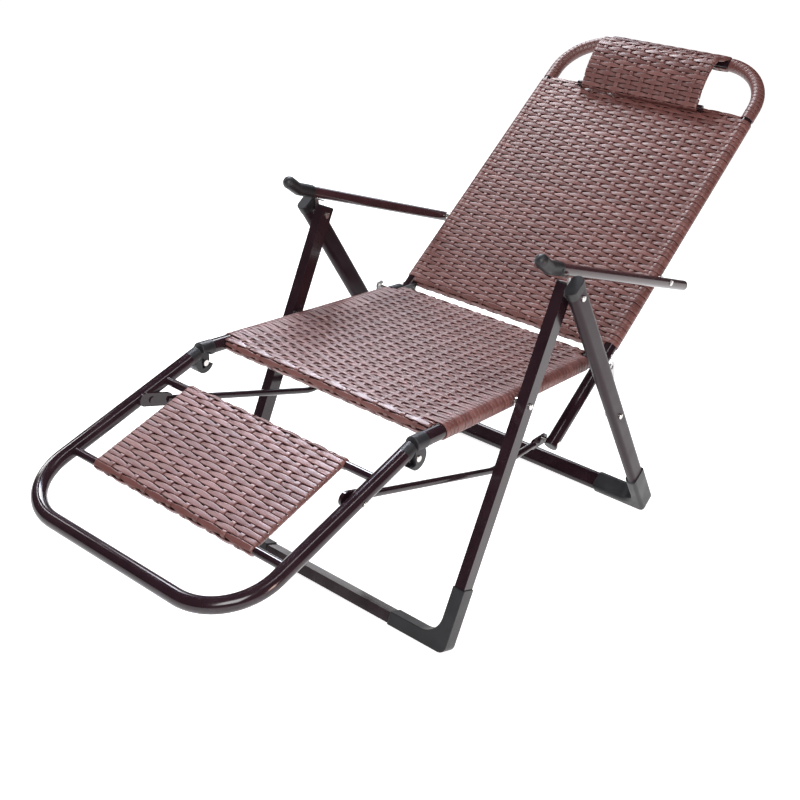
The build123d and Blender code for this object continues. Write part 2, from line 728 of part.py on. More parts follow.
def seat_pivot_bolt():
    """Bolt from the rail out through the front leg."""
    collar = (SEAT_RAIL_X + ROUND_RADIUS, FRONT_INNER_X - SIDE_GAP)
    shaft = bolt(SEAT_PIVOT, SEAT_RAIL_X, FRONT_OUTER_X + SIDE_GAP, [collar])
    return shaft + domed_head(
        SEAT_PIVOT, FRONT_OUTER_X + SIDE_GAP, BOLT_HEAD_DEPTH, BOLT_HEAD_RADIUS
    )


def stay_stud():
    """Stud on the rail's rear plug for the stay's upper end, left just short of it."""
    inner = SEAT_RAIL_X + ROUND_RADIUS
    return across(STAY_HIGH, inner, FRONT_OUTER_X + STAY_GAP - SIDE_GAP, BOLT_RADIUS)


def back_pivot_bolt():
    tongue_inner = BACK_TUBE_X - ROUND_RADIUS - SIDE_GAP - TONGUE_THICKNESS
    outer = BACK_TUBE_X + ROUND_RADIUS + SIDE_GAP
    shaft = across(BACK_PIVOT, tongue_inner, outer, BOLT_RADIUS)
    inner = across(
        BACK_PIVOT, tongue_inner - BOLT_HEAD_DEPTH, tongue_inner, BOLT_HEAD_RADIUS
    )
    cap = domed_head(BACK_PIVOT, outer, SMALL_HEAD_DEPTH, BOLT_HEAD_RADIUS)
    return shaft + inner + cap


def knee_bolt():
    outer_face = SEAT_RAIL_X + EAR_THICKNESS
    inner_face = SEAT_RAIL_X - EAR_THICKNESS - EAR_CLEARANCE - SIDE_GAP
    shaft = across(KNEE_HINGE, inner_face, outer_face, BOLT_RADIUS)
    inner = across(KNEE_HINGE, inner_face - SMALL_HEAD_DEPTH, inner_face, BOLT_HEAD_RADIUS)
    return shaft + inner + domed_head(
        KNEE_HINGE, outer_face, SMALL_HEAD_DEPTH, BOLT_HEAD_RADIUS
    )


# Leg rest


def leg_rest_corner(x, distance):
    return at_x(LEG_REST_AXIS + along(LEG_REST_FORWARD) * distance, x)


def leg_rest_frame():
    """Bent tube that runs forward, round the foot end and back."""
    corners = [
        leg_rest_corner(LEG_REST_X, LEG_REST_TUBE_REAR),
        leg_rest_corner(LEG_REST_X, LEG_REST_REACH),
        leg_rest_corner(-LEG_REST_X, LEG_REST_REACH),
        leg_rest_corner(-LEG_REST_X, LEG_REST_TUBE_REAR),
    ]
    path = rounded_path(corners, LEG_REST_CORNER_RADIUS)
    frame = swept_round(path, ROUND_RADIUS) - swept_round(path, ROUND_RADIUS - ROUND_WALL)
    inner = LEG_REST_X - ROUND_RADIUS - OVERRUN
    outer = LEG_REST_X + ROUND_RADIUS + OVERRUN
    frame -= hole(LINK_FRONT, inner, outer, BOLT_RADIUS)
    return frame - hole(LINK_FRONT, -outer, -inner, BOLT_RADIUS)


def leg_rest_cross_bar(distance):
    point = LEG_REST_AXIS + along(LEG_REST_FORWARD) * distance
    bar = cross_tube(point, LEG_REST_X, CROSS_RADIUS, CROSS_WALL)
    reach = LEG_REST_REACH
    for x in (-LEG_REST_X, LEG_REST_X):
        bar -= round_along(at_x(LEG_REST_AXIS, x), LEG_REST_FORWARD, 0, reach, ROUND_RADIUS)
    return bar


def leg_rest_weave():
    """Woven foot panel wrapped round its two cross bars."""
    wrap = CROSS_RADIUS + LEG_REST_PANEL_WRAP
    half = LEG_REST_PANEL_HALF_WIDTH
    middle = (LEG_REST_REAR_BAR + LEG_REST_FRONT_BAR) * 0.5
    centre = LEG_REST_AXIS + along(LEG_REST_FORWARD) * middle
    plane = Plane(
        origin=centre + LEG_REST_UP * (wrap - PANEL_THICKNESS),
        x_dir=(1, 0, 0), z_dir=LEG_REST_UP,
    )
    length = LEG_REST_FRONT_BAR - LEG_REST_REAR_BAR
    weave = extrude(plane * Rectangle(half + half, length), amount=PANEL_THICKNESS)
    for distance in (LEG_REST_REAR_BAR, LEG_REST_FRONT_BAR):
        point = LEG_REST_AXIS + along(LEG_REST_FORWARD) * distance
        weave += across(point, -half, half, wrap)
    for distance in (LEG_REST_REAR_BAR, LEG_REST_FRONT_BAR):
        point = LEG_REST_AXIS + along(LEG_REST_FORWARD) * distance
        reach = half + OVERRUN
        weave -= across(point, -reach, reach, CROSS_RADIUS + SLEEVE_FIT)
    return weave


def leg_rest_plug():
    """Cap on the leg rest tube's rear end with its hinge ear."""
    start = at_x(LEG_REST_AXIS, LEG_REST_X)
    tip = HINGE_ALONG_SEAT - PLUG_FRONT_TIP
    plug = round_along(start, LEG_REST_FORWARD, tip, LEG_REST_TUBE_REAR, ROUND_RADIUS)
    plug += hinge_ear(LEG_REST_X, LEG_REST_FORWARD - HALF_TURN, -1)
    plug -= round_along(
        start, LEG_REST_FORWARD, LEG_REST_TUBE_REAR, LEG_REST_REACH,
        ROUND_RADIUS + SLEEVE_FIT,
    )
    plug += round_along(
        start, LEG_REST_FORWARD, LEG_REST_TUBE_REAR, LEG_REST_TUBE_REAR + PLUG_INSERT,
        ROUND_RADIUS - ROUND_WALL - SLEEVE_FIT,
    )
    plug -= across(
        KNEE_HINGE, LEG_REST_X - EAR_CLEARANCE, LEG_REST_X + EAR_THICKNESS + EAR_THICKNESS,
        EAR_RADIUS + EAR_CLEARANCE,
    )
    plug -= meeting_cut(-1)
    return plug - hole(KNEE_HINGE, 0, LEG_REST_X + OVERRUN, BOLT_RADIUS)


def link_front_bolt():
    """Bolt through the leg rest tube, its inner end left just short of the link."""
    outer = LEG_REST_X + ROUND_RADIUS
    head = domed_head(LINK_FRONT, outer, SMALL_HEAD_DEPTH, LINK_HEAD_RADIUS)
    end = LINK_REAR_X + LINK_PLATE + LINK_OPEN_GAP
    return head + across(LINK_FRONT, end, outer, BOLT_RADIUS)


# Back


def back_corner(x, distance):
    return at_x(BACK_PIVOT + along(BACK_LEAN) * distance, x)


def back_path():
    """Axis of the back tube, up one side, over the head end and down the other."""
    corners = [
        back_corner(BACK_TUBE_X, -BACK_LOWER_END),
        back_corner(BACK_TUBE_X, BACK_TOP),
        back_corner(-BACK_TUBE_X, BACK_TOP),
        back_corner(-BACK_TUBE_X, -BACK_LOWER_END),
    ]
    return rounded_path(corners, BACK_CORNER_RADIUS)


def back_frame():
    path = back_path()
    frame = swept_round(path, ROUND_RADIUS) - swept_round(path, ROUND_RADIUS - ROUND_WALL)
    inner = BACK_TUBE_X - ROUND_RADIUS - OVERRUN
    outer = BACK_TUBE_X + ROUND_RADIUS + OVERRUN
    for x_from in (inner, -outer):
        x_to = x_from + outer - inner
        for point in (BACK_PIVOT, LINK_REAR, ARM_PIVOT):
            frame -= hole(point, x_from, x_to, BOLT_RADIUS)
    return frame


def back_cross_bar(distance):
    point = BACK_PIVOT + along(BACK_LEAN) * distance
    bar = cross_tube(point, BACK_TUBE_X, CROSS_RADIUS, CROSS_WALL)
    for x in (-BACK_TUBE_X, BACK_TUBE_X):
        bar -= round_along(at_x(BACK_PIVOT, x), BACK_LEAN, 0, BACK_TOP, ROUND_RADIUS)
    return bar


def back_weave():
    weave = panel_with_sleeves(
        BACK_PIVOT, BACK_LEAN, BACK_TUBE_X, BACK_LOWER_BAR, BACK_UPPER_BAR,
        BACK_PANEL_BOTTOM, BACK_PANEL_TOP, BACK_WRAP_RADIUS,
    )
    half = BACK_TUBE_X - BACK_WRAP_RADIUS - TONGUE_THICKNESS - SIDE_GAP
    for distance in (BACK_LOWER_BAR, BACK_UPPER_BAR):
        point = BACK_PIVOT + along(BACK_LEAN) * distance
        weave += across(point, -half, half, CROSS_RADIUS + HEADREST_WRAP)
        weave += weave_drop(point, BACK_UP, half, distance - BACK_LOWER_BAR - OVERRUN)
        reach = BACK_TUBE_X + OVERRUN
        weave -= across(point, -reach, reach, CROSS_RADIUS + SLEEVE_FIT)
    for x_from in (BACK_TUBE_X, -FRONT_INNER_X - OVERRUN):
        x_to = x_from + FRONT_INNER_X + OVERRUN - BACK_TUBE_X
        weave -= across(ARM_PIVOT, x_from, x_to, BOLT_COLLAR_RADIUS + SLEEVE_FIT)
    return weave


def back_top_wrap():
    """Fine wrap round the bent tube from the panel up to the headrest."""
    corners = [
        back_corner(BACK_TUBE_X, BACK_PANEL_TOP + BACK_WRAP_GAP),
        back_corner(BACK_TUBE_X, BACK_TOP),
        back_corner(0, BACK_TOP),
    ]
    path = rounded_path(corners, BACK_CORNER_RADIUS)
    wrap = swept_round(path, BACK_WRAP_RADIUS) - swept_round(path, ROUND_RADIUS + SLEEVE_FIT)
    inner_x = HEADREST_HALF_WIDTH + BACK_WRAP_GAP
    return wrap - across(on_back(BACK_TOP, 0), -OVERRUN, inner_x, BACK_CORNER_RADIUS)


def back_end_plug():
    """Flanged plug in the lower end of the back tube."""
    end = back_corner(BACK_TUBE_X, -BACK_LOWER_END)
    flange = straight_solid(end, BACK_LEAN + HALF_TURN, BACK_PLUG_FLANGE, Circle(ROUND_RADIUS))
    depth = BACK_LOWER_END - LINK_BOLT_BELOW_BACK - BOLT_RADIUS - BACK_PLUG_CLEARANCE
    plug = straight_solid(
        end, BACK_LEAN, depth, Circle(ROUND_RADIUS - ROUND_WALL - SLEEVE_FIT)
    )
    return edge_softened(flange, -along(BACK_LEAN), BACK_PLUG_FLANGE * 0.5) + plug


def link_rear_bolt():
    """Bolt through the back tube's lower end that carries the recline link."""
    outer = BACK_TUBE_X + ROUND_RADIUS
    inner = LINK_REAR_X - SIDE_GAP
    shaft = across(LINK_REAR, inner, outer, BOLT_RADIUS)
    head = across(LINK_REAR, inner - SMALL_HEAD_DEPTH, inner, BOLT_HEAD_RADIUS)
    return shaft + head + domed_head(
        LINK_REAR, outer, LINK_REAR_HEAD_DEPTH, LINK_REAR_HEAD_RADIUS
    )


def arm_pivot_bolt():
    """Bolt from the back tube out through the arm, with a spacer collar."""
    arm_inner = ARM_X - ARM_WIDTH * 0.5
    arm_outer = ARM_X + ARM_WIDTH * 0.5
    collar = (BACK_TUBE_X + ROUND_RADIUS, arm_inner - SIDE_GAP)
    shaft = bolt(ARM_PIVOT, BACK_TUBE_X, arm_outer + SIDE_GAP, [collar])
    return shaft + domed_head(
        ARM_PIVOT, arm_outer + SIDE_GAP, SMALL_HEAD_DEPTH, BOLT_HEAD_RADIUS
    )


# Headrest


def on_back(distance, height, x=0):
    return at_x(BACK_PIVOT + along(BACK_LEAN) * distance + BACK_UP * height, x)


def headrest_bar():
    point = on_back(HEADREST_BAR_ALONG, HEADREST_BAR_HEIGHT)
    return across(
        point, -HEADREST_BAR_END, HEADREST_BAR_END, HEADREST_BAR_RADIUS
    )


def headrest_post():
    """Short post from the upper cross bar up to the headrest bar."""
    rise = BACK_WRAP_RADIUS + SLEEVE_FIT
    foot = on_back(HEADREST_BAR_ALONG, rise, POST_X)
    return extrude(
        Plane(origin=foot, z_dir=BACK_UP) * Circle(POST_RADIUS),
        amount=HEADREST_BAR_HEIGHT - rise + POST_RADIUS * 0.5,
    )


def inner_profile(points, thickness):
    """Profile moved inward by the sheet's thickness."""
    moved = []
    for index, (s, h) in enumerate(points):
        before = points[max(index - 1, 0)]
        after = points[min(index + 1, len(points) - 1)]
        tangent = Vector(after[0] - before[0], after[1] - before[1]).normalized()
        moved.append((s - tangent.Y * thickness, h + tangent.X * thickness))
    return moved


def headrest_profile():
    """Outer line of the pad, from over the top tube down to over the headrest bar."""
    span = HEADREST_BAR_ALONG - BACK_TOP
    points = [(BACK_TOP, ROUND_RADIUS + HEADREST_WRAP)]
    for along_share, rise_share in HEADREST_PROFILE_SHARES:
        points.append((BACK_TOP + span * along_share, HEADREST_RISE * rise_share))
    rim = HEADREST_BAR_HEIGHT + HEADREST_BAR_RADIUS + HEADREST_WRAP
    return points + [(HEADREST_BAR_ALONG, rim)]


def headrest_weave():
    """Bulging woven pad from the top tube down to the headrest bar."""
    outer = headrest_profile()
    inner = inner_profile(outer, HEADREST_THICKNESS)
    upper = Spline(*outer)
    lower = Spline(*inner)
    face = make_face([
        upper, Line(outer[-1], inner[-1]), lower, Line(inner[0], outer[0]),
    ])
    plane = Plane(
        origin=at_x(BACK_PIVOT, -HEADREST_HALF_WIDTH), x_dir=along(BACK_LEAN),
        z_dir=(1, 0, 0),
    )
    width = HEADREST_HALF_WIDTH + HEADREST_HALF_WIDTH
    weave = extrude(plane * face, amount=width)
    half = HEADREST_HALF_WIDTH
    weave += across(on_back(BACK_TOP, 0), -half, half, ROUND_RADIUS + HEADREST_WRAP)
    bar = on_back(HEADREST_BAR_ALONG, HEADREST_BAR_HEIGHT)
    weave += across(bar, -half, half, HEADREST_BAR_RADIUS + HEADREST_WRAP)
    reach = half + OVERRUN
    weave -= across(on_back(BACK_TOP, 0), -reach, reach, ROUND_RADIUS + SLEEVE_FIT)
    weave -= swept_round(back_path(), ROUND_RADIUS + SLEEVE_FIT)
    return weave - across(bar, -reach, reach, HEADREST_BAR_RADIUS + SLEEVE_FIT)


# Recline link


def link_path_corner():
    """Bend of the recline link, below the straight line between its ends."""
    direction = (LINK_REAR - LINK_FRONT).normalized()
    down = direction.cross(Vector(1, 0, 0))
    if down.Z > 0:
        down = -down
    return LINK_FRONT + direction * LINK_BEND_ALONG + down * LINK_BEND_SAG


def recline_link():
    """Bent rod with a flattened end at each pivot and a rivet head at the front one."""
    x = LINK_REAR_X + LINK_PLATE * 0.5
    bend = at_x(link_path_corner(), x)
    front = at_x(LINK_FRONT, x)
    rear = at_x(LINK_REAR, x)
    front_direction = (bend - front).normalized()
    front_start = front + front_direction * LINK_END_LENGTH
    rear_start = rear + (bend - rear).normalized() * LINK_END_LENGTH
    path = rounded_path([front_start, bend, rear_start], LINK_BEND_RADIUS)
    link = swept_round(path, LINK_RADIUS)
    tail = front - front_direction * LINK_FRONT_TAIL
    link += link_plate(tail, front_start, LINK_REAR_X, LINK_PLATE, LINK_FRONT_END_RADIUS)
    link += link_plate(rear, rear_start, LINK_REAR_X, LINK_PLATE, LINK_END_RADIUS)
    link += across(LINK_FRONT, LINK_REAR_X - SMALL_HEAD_DEPTH, LINK_REAR_X, LINK_HEAD_RADIUS)
    return link - hole(LINK_REAR, 0, FRONT_INNER_X, BOLT_RADIUS)


# Arm


def arm_tube():
    start = at_x(ARM_ORIGIN, ARM_X) - along(ARM_FORWARD) * ARM_REAR
    tube = straight_tube(
        start, ARM_FORWARD, ARM_REAR + ARM_FRONT, oval_outline, ARM_WIDTH, ARM_DEPTH,
        ARM_WALL,
    )
    return tube - hole(ARM_PIVOT, BACK_TUBE_X, REAR_OUTER_X, BOLT_RADIUS)


def arm_cap():
    """Hand grip cap over the front end, its bulb bent slightly up."""
    end = at_x(ARM_ORIGIN, ARM_X) + along(ARM_FORWARD) * ARM_FRONT
    sleeve_start = end - along(ARM_FORWARD) * (ARM_CAP_LENGTH * 0.5)
    outline = oval_outline(ARM_WIDTH, ARM_DEPTH, -ARM_CAP_WALL)
    sleeve = straight_solid(sleeve_start, ARM_FORWARD, ARM_CAP_LENGTH * 0.5, outline)
    tip = end + along(ARM_FORWARD) * (ARM_CAP_LENGTH * 0.5 - ARM_CAP_BULB)
    tip += ARM_UP * ARM_CAP_RISE
    near = section_plane(end, ARM_FORWARD) * outline
    far = section_plane(tip, ARM_FORWARD - ARM_DROP * 0.5) * Circle(
        ARM_WIDTH * 0.5 + ARM_CAP_WALL
    )
    neck = loft([near.face(), far.face()])
    bulb = Pos(tip) * Sphere(ARM_WIDTH * 0.5 + ARM_CAP_WALL)
    cap = sleeve + neck + bulb
    room = oval_outline(ARM_WIDTH, ARM_DEPTH, -SLEEVE_FIT)
    cap -= straight_solid(
        sleeve_start - along(ARM_FORWARD) * OVERRUN, ARM_FORWARD,
        ARM_CAP_LENGTH * 0.5 + OVERRUN, room,
    )
    screw = sleeve_start + along(ARM_FORWARD) * ARM_CAP_SCREW_INSET
    face_x = ARM_X + ARM_WIDTH * 0.5 + ARM_CAP_WALL
    return cap + across(screw, face_x, face_x + ARM_CAP_SCREW_DEPTH, ARM_CAP_SCREW_RADIUS)


def arm_rear_plug():
    end = at_x(ARM_ORIGIN, ARM_X) - along(ARM_FORWARD) * ARM_REAR
    bore = oval_outline(ARM_WIDTH, ARM_DEPTH, ARM_WALL + SLEEVE_FIT)
    plug = straight_solid(end, ARM_FORWARD, ARM_PLUG_DEPTH, bore)
    flange = straight_solid(
        end, ARM_FORWARD + HALF_TURN, BACK_PLUG_FLANGE, oval_outline(ARM_WIDTH, ARM_DEPTH)
    )
    return edge_softened(flange, -along(ARM_FORWARD), BACK_PLUG_FLANGE * 0.5) + plug


def paired_parts():
    """Every part with a node of its own on each side, built on the sitter's left."""
    return {
        "front_leg": front_leg(),
        "front_foot_cap": front_foot_cap(),
        "front_leg_top_cap": front_top_cap(),
        "arm_bracket": arm_bracket(),
        "rear_leg": rear_leg(),
        "rear_foot_cap": rear_foot_cap(),
        "rear_leg_top_cap": rear_top_cap(),
        "stay_link": stay_link(),
        "seat_rail": seat_rail(),
        "seat_front_plug": seat_front_plug(),
        "seat_rear_plug": seat_rear_plug(),
        "leg_rest_plug": leg_rest_plug(),
        "recline_link": recline_link(),
        "armrest": arm_tube(),
        "armrest_cap": arm_cap(),
        "armrest_plug": arm_rear_plug(),
    }


def twin_parts():
    """Small parts whose left and right piece share one node."""
    return {
        "leg_pivot_bolts": leg_pivot_bolt(),
        "stay_bolts": stay_bolt(),
        "seat_pivot_bolts": seat_pivot_bolt(),
        "back_pivot_bolts": back_pivot_bolt(),
        "knee_bolts": knee_bolt(),
        "back_top_wraps": back_top_wrap(),
        "back_end_plugs": back_end_plug(),
        "link_front_bolts": link_front_bolt(),
        "link_rear_bolts": link_rear_bolt(),
        "stay_studs": stay_stud(),
        "arm_pivot_bolts": arm_pivot_bolt(),
    }


def single_parts():
    """Every part that spans the chair."""
    front_half = FRONT_LEG_X - BAR_END_INSET
    rear_half = REAR_LEG_X - BAR_END_INSET
    return {
        "front_floor_bar": floor_bar(
            FRONT_DOWN, FRONT_BAR_DOWN, front_half, rectangle_outline,
            FRONT_LEG_WIDTH, FRONT_LEG_DEPTH,
        ),
        "rear_floor_bar": floor_bar(
            REAR_DOWN, REAR_BAR_DOWN, rear_half, oval_outline,
            REAR_LEG_WIDTH, REAR_LEG_DEPTH,
        ),
        "seat_front_bar": seat_cross_bar(-SEAT_FRONT_BAR, ROUND_RADIUS),
        "seat_rear_bar": seat_cross_bar(SEAT_REAR_BAR, PLUG_RADIUS),
        "seat_weave": seat_weave(),
        "leg_rest_frame": leg_rest_frame(),
        "leg_rest_rear_bar": leg_rest_cross_bar(LEG_REST_REAR_BAR),
        "leg_rest_front_bar": leg_rest_cross_bar(LEG_REST_FRONT_BAR),
        "leg_rest_weave": leg_rest_weave(),
        "back_frame": back_frame(),
        "back_upper_bar": back_cross_bar(BACK_UPPER_BAR),
        "back_lower_bar": back_cross_bar(BACK_LOWER_BAR),
        "back_weave": back_weave(),
        "headrest_bar": headrest_bar() + headrest_post() + mirrored(headrest_post()),
        "headrest_weave": headrest_weave(),
    }


def main():
    os.makedirs("parts", exist_ok=True)
    parts = dict(single_parts())
    for name, shape in paired_parts().items():
        parts[name + "_left"] = shape
        parts[name + "_right"] = mirrored(shape)
    for name, shape in twin_parts().items():
        parts[name] = Compound([*shape.solids(), *mirrored(shape).solids()])
    for name, shape in parts.items():
        export_step(shape, os.path.join("parts", name + ".step"))


main()
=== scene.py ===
"""Looks of the folding lounge chair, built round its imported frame."""

import json
import math

import bpy
import numpy as np
from mathutils import Matrix, Vector

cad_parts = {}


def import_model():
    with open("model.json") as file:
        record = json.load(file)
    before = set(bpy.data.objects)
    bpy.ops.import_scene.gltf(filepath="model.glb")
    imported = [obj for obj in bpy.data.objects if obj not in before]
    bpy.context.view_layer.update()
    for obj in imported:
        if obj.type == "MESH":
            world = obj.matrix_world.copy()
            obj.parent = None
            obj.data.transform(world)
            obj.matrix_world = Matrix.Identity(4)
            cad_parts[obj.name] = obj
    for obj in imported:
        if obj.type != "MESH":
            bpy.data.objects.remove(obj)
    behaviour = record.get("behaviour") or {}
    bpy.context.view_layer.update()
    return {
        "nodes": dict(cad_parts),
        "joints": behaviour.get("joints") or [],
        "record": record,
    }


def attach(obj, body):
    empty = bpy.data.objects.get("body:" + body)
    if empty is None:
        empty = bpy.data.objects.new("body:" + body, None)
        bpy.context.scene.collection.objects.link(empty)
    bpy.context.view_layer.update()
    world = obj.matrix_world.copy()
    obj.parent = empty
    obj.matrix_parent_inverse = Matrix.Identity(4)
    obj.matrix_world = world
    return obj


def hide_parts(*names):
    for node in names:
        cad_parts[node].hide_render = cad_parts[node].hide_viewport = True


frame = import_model()
MM = 0.001
random = np.random.default_rng(7)

# Members of the side profile, angles in degrees from the rear towards up

SEAT_ANGLE = -3.5
BACK_ANGLE = 38.6
LEG_REST_ANGLE = 197.7
HINGE_BELOW_LEG_REST = 18.3

# Seat, back, leg rest and headrest sizes in millimetres, as in the frame

SEAT_RAIL_X = 230.0
BACK_TUBE_X = 235.0
TUBE_RADIUS = 12.5
SEAT_FRONT_BAR = -208.5
SEAT_REAR_BAR = 281.0
SEAT_SLEEVE = (-197.0, 256.0)
BACK_LOWER_BAR = 17.0
BACK_UPPER_BAR = 596.0
BACK_SLEEVE = (12.0, 605.0)
BACK_TOP = 738.5
BACK_CORNER_RADIUS = 105.0
LEG_REST_REAR_BAR = 80.9
LEG_REST_FRONT_BAR = 277.9
LEG_REST_HALF_WIDTH = 170.0
HEADREST_HALF_WIDTH = 136.0
HEADREST_BAR = (591.0, 25.0)
SEAT_PLUG_INNER_X = 215.5
BACK_TONGUE_INNER_X = 217.0

# Woven sheets: height over the axis, rolls over the cross bars, last warps and wraps

SEAT_SHEET_HEIGHT = 11.7
BACK_SHEET_HEIGHT = 11.2
SHEET_ROLL_RADIUS = 10.2
LEG_REST_SHEET_HEIGHT = 8.0
LEG_REST_ROLL_RADIUS = 8.0
ROLL_BEGIN = 300
ROLL_END = -120
SHEET_SMOOTHING = 6
SEAT_WRAP_RADIUS = 13.35
BACK_WRAP_RADIUS = 13.3
ROLL_LAST_WARP = 196.0
SEAT_LAST_WARP = 196.0
BACK_LAST_WARP = 224.0
LEG_REST_LAST_WARP = 140.0
LEG_REST_EDGE_RADIUS = 4.0
LEG_REST_EDGE_INSET = 4.8
# Half width of the near-black sheet of painted shade under the leg rest weave
LEG_REST_SHADE_SHEET_HALF = 167.5
HEADREST_LAST_WARP = 112.0
HEADREST_EDGE_RADIUS = 3.5
HEADREST_EDGE_INSET = 4.2
# Half width of the near-black sheet of painted shade under the headrest weave
HEADREST_SHADE_SHEET_HALF = 133.5
HEADREST_BAR_WRAP_RADIUS = 7.0
HEADREST_TUBE_WRAP_RADIUS = 14.2
HEADREST_SMOOTHING = 60
HEADREST_BAR_ARC = (310, 130, 30)
HEADREST_TUBE_ARC = (40, -190, 40)
HEADREST_MIDDLE = (
    (600.0, 37.0), (611.0, 46.6), (632.0, 55.6), (652.3, 61.0), (678.0, 63.5),
    (702.0, 55.5), (721.0, 35.5), (735.0, 25.5),
)
PROFILE_STEP = 0.5

# Weave: strands in millimetres and their waves over and under each other

ROW_PITCH = 9.75
WARP_PITCH = 28.0
WEFT_WIDTH = 9.6
WEFT_THICKNESS = 1.7
WEFT_NARROWING = 0.34
WARP_WIDTH = 8.4
WARP_THICKNESS = 1.4
WARP_INSET = (0.2, 0.7)
WEFT_RISE = 1.15
WARP_RISE = 1.35
CREST_POWER = 0.6
WARP_CREST_POWER = 0.35
SAMPLES_PER_WARP = 10
SAMPLES_PER_ROW = 8

# Row ends that wrap a rail or an edge, angles in degrees

WRAP_HASTE = 0.8
WRAP_WIDTH = 0.91
WRAP_SWELL = 0.35
WRAP_STEP = 18
RUN_SAMPLES = 6
RAIL_WRAP_END = -140
SELVEDGE_WRAP_END = -110
SELVEDGE_LIFT = 0.4
SLEEVE_MARGIN = 4.0
LEVEL_NORMAL = 0.999

# Row ends that tuck in beside a rail

TUCK_DEPTH = 0.9
TUCK_NARROWING = 0.2
TUCK_LEVEL = 0.7
TUCK_SAMPLES = 5
RAIL_CLEARANCE = 0.8

# Near-black sheet inside the weave, painted shade in its gaps

SHADE_SHEET_DEPTH = 0.7
SHADE_SHEET_THICKNESS = 0.4
SHADE_SHEET_INSET = (2.0, 2.5)
SHADE_SHEET_STEP = 4

# Small unevenness of rows and warps, in millimetres and per millimetre

ROW_SCATTER = 0.12
ROW_LEAN = 0.25
ROW_WOBBLE = 0.12
ROW_WOBBLE_RATE = 0.05
WARP_SCATTER = 0.3
WARP_WOBBLE = 0.25
WARP_WOBBLE_RATE = 0.03

# Shift of a strand's streaks with its tone, across it and so many times along it

TONE_SHIFT = 37.0
TONE_SHIFT_ALONG = 10

# Strand wound round the back tube's top corners

WOUND_PITCH = 9.6
WOUND_GAP = 0.8
WOUND_THICKNESS = 1.3
WOUND_LIFT = 0.75
WOUND_TONE = 0.4
WOUND_SAMPLES = 20
STRAIGHT_SAMPLES = 20
CORNER_SAMPLES = 60
WOUND_START = BACK_SLEEVE[1] - 3.5
WOUND_END_X = HEADREST_HALF_WIDTH + 1.5


def joint_point(name):
    """Place of a joint in the side profile, in millimetres."""
    for joint in frame["joints"]:
        if joint["name"] == name:
            return np.array(joint["pos_m"][1:]) / MM
    raise ValueError("no joint named " + name)


class Member:
    """Straight member of the side profile, with its own along and up axes."""

    def __init__(self, origin, angle, flip=1.0):
        turn = math.radians(angle)
        self.origin = np.array(origin, float)
        self.along = np.array([math.cos(turn), math.sin(turn)])
        self.up = np.array([-self.along[1], self.along[0]]) * flip

    def points(self, x, s, h):
        """Points in metres from width, distance along and height over the axis."""
        x, s, h = np.broadcast_arrays(x, s, h)
        side = self.origin + s[..., None] * self.along + h[..., None] * self.up
        return np.concatenate([x[..., None], side], axis=-1) * MM

    def directions(self, x, s, h):
        """Directions from parts across, along and up."""
        x, s, h = np.broadcast_arrays(x, s, h)
        side = s[..., None] * self.along + h[..., None] * self.up
        return np.concatenate([x[..., None], side], axis=-1)


seat_member = Member(joint_point("seat_fold"), SEAT_ANGLE)
back_member = Member(joint_point("recline"), BACK_ANGLE)
leg_rest_member = Member(joint_point("leg_rest_swing"), LEG_REST_ANGLE, -1.0)
leg_rest_member.origin = leg_rest_member.origin + leg_rest_member.up * HINGE_BELOW_LEG_REST


# Mesh building


def make_mesh(name, vertices, quads, uv=None, tone=None, material=None):
    """Smooth quad mesh from arrays, with its strand coordinates and tones."""
    mesh = bpy.data.meshes.new(name)
    mesh.vertices.add(len(vertices))
    mesh.vertices.foreach_set("co", np.asarray(vertices, np.float32).ravel())
    quads = np.asarray(quads, np.int32)
    mesh.loops.add(quads.size)
    mesh.loops.foreach_set("vertex_index", quads.ravel())
    mesh.polygons.add(len(quads))
    mesh.polygons.foreach_set("loop_start", np.arange(0, quads.size, 4, dtype=np.int32))
    mesh.update(calc_edges=True)
    mesh.polygons.foreach_set("use_smooth", np.ones(len(quads), bool))
    if uv is not None:
        layer = mesh.uv_layers.new(name="strand")
        layer.data.foreach_set("uv", np.asarray(uv, np.float32)[quads.ravel()].ravel())
    if tone is not None:
        attribute = mesh.attributes.new("tone", "FLOAT", "POINT")
        attribute.data.foreach_set("value", np.asarray(tone, np.float32))
    mesh.validate()
    obj = bpy.data.objects.new(name, mesh)
    bpy.context.scene.collection.objects.link(obj)
    if material is not None:
        mesh.materials.append(material)
    return obj


def running_length(line):
    """Length along a line at each of its points."""
    return np.concatenate([[0], np.cumsum(np.linalg.norm(np.diff(line, axis=0), axis=1))])


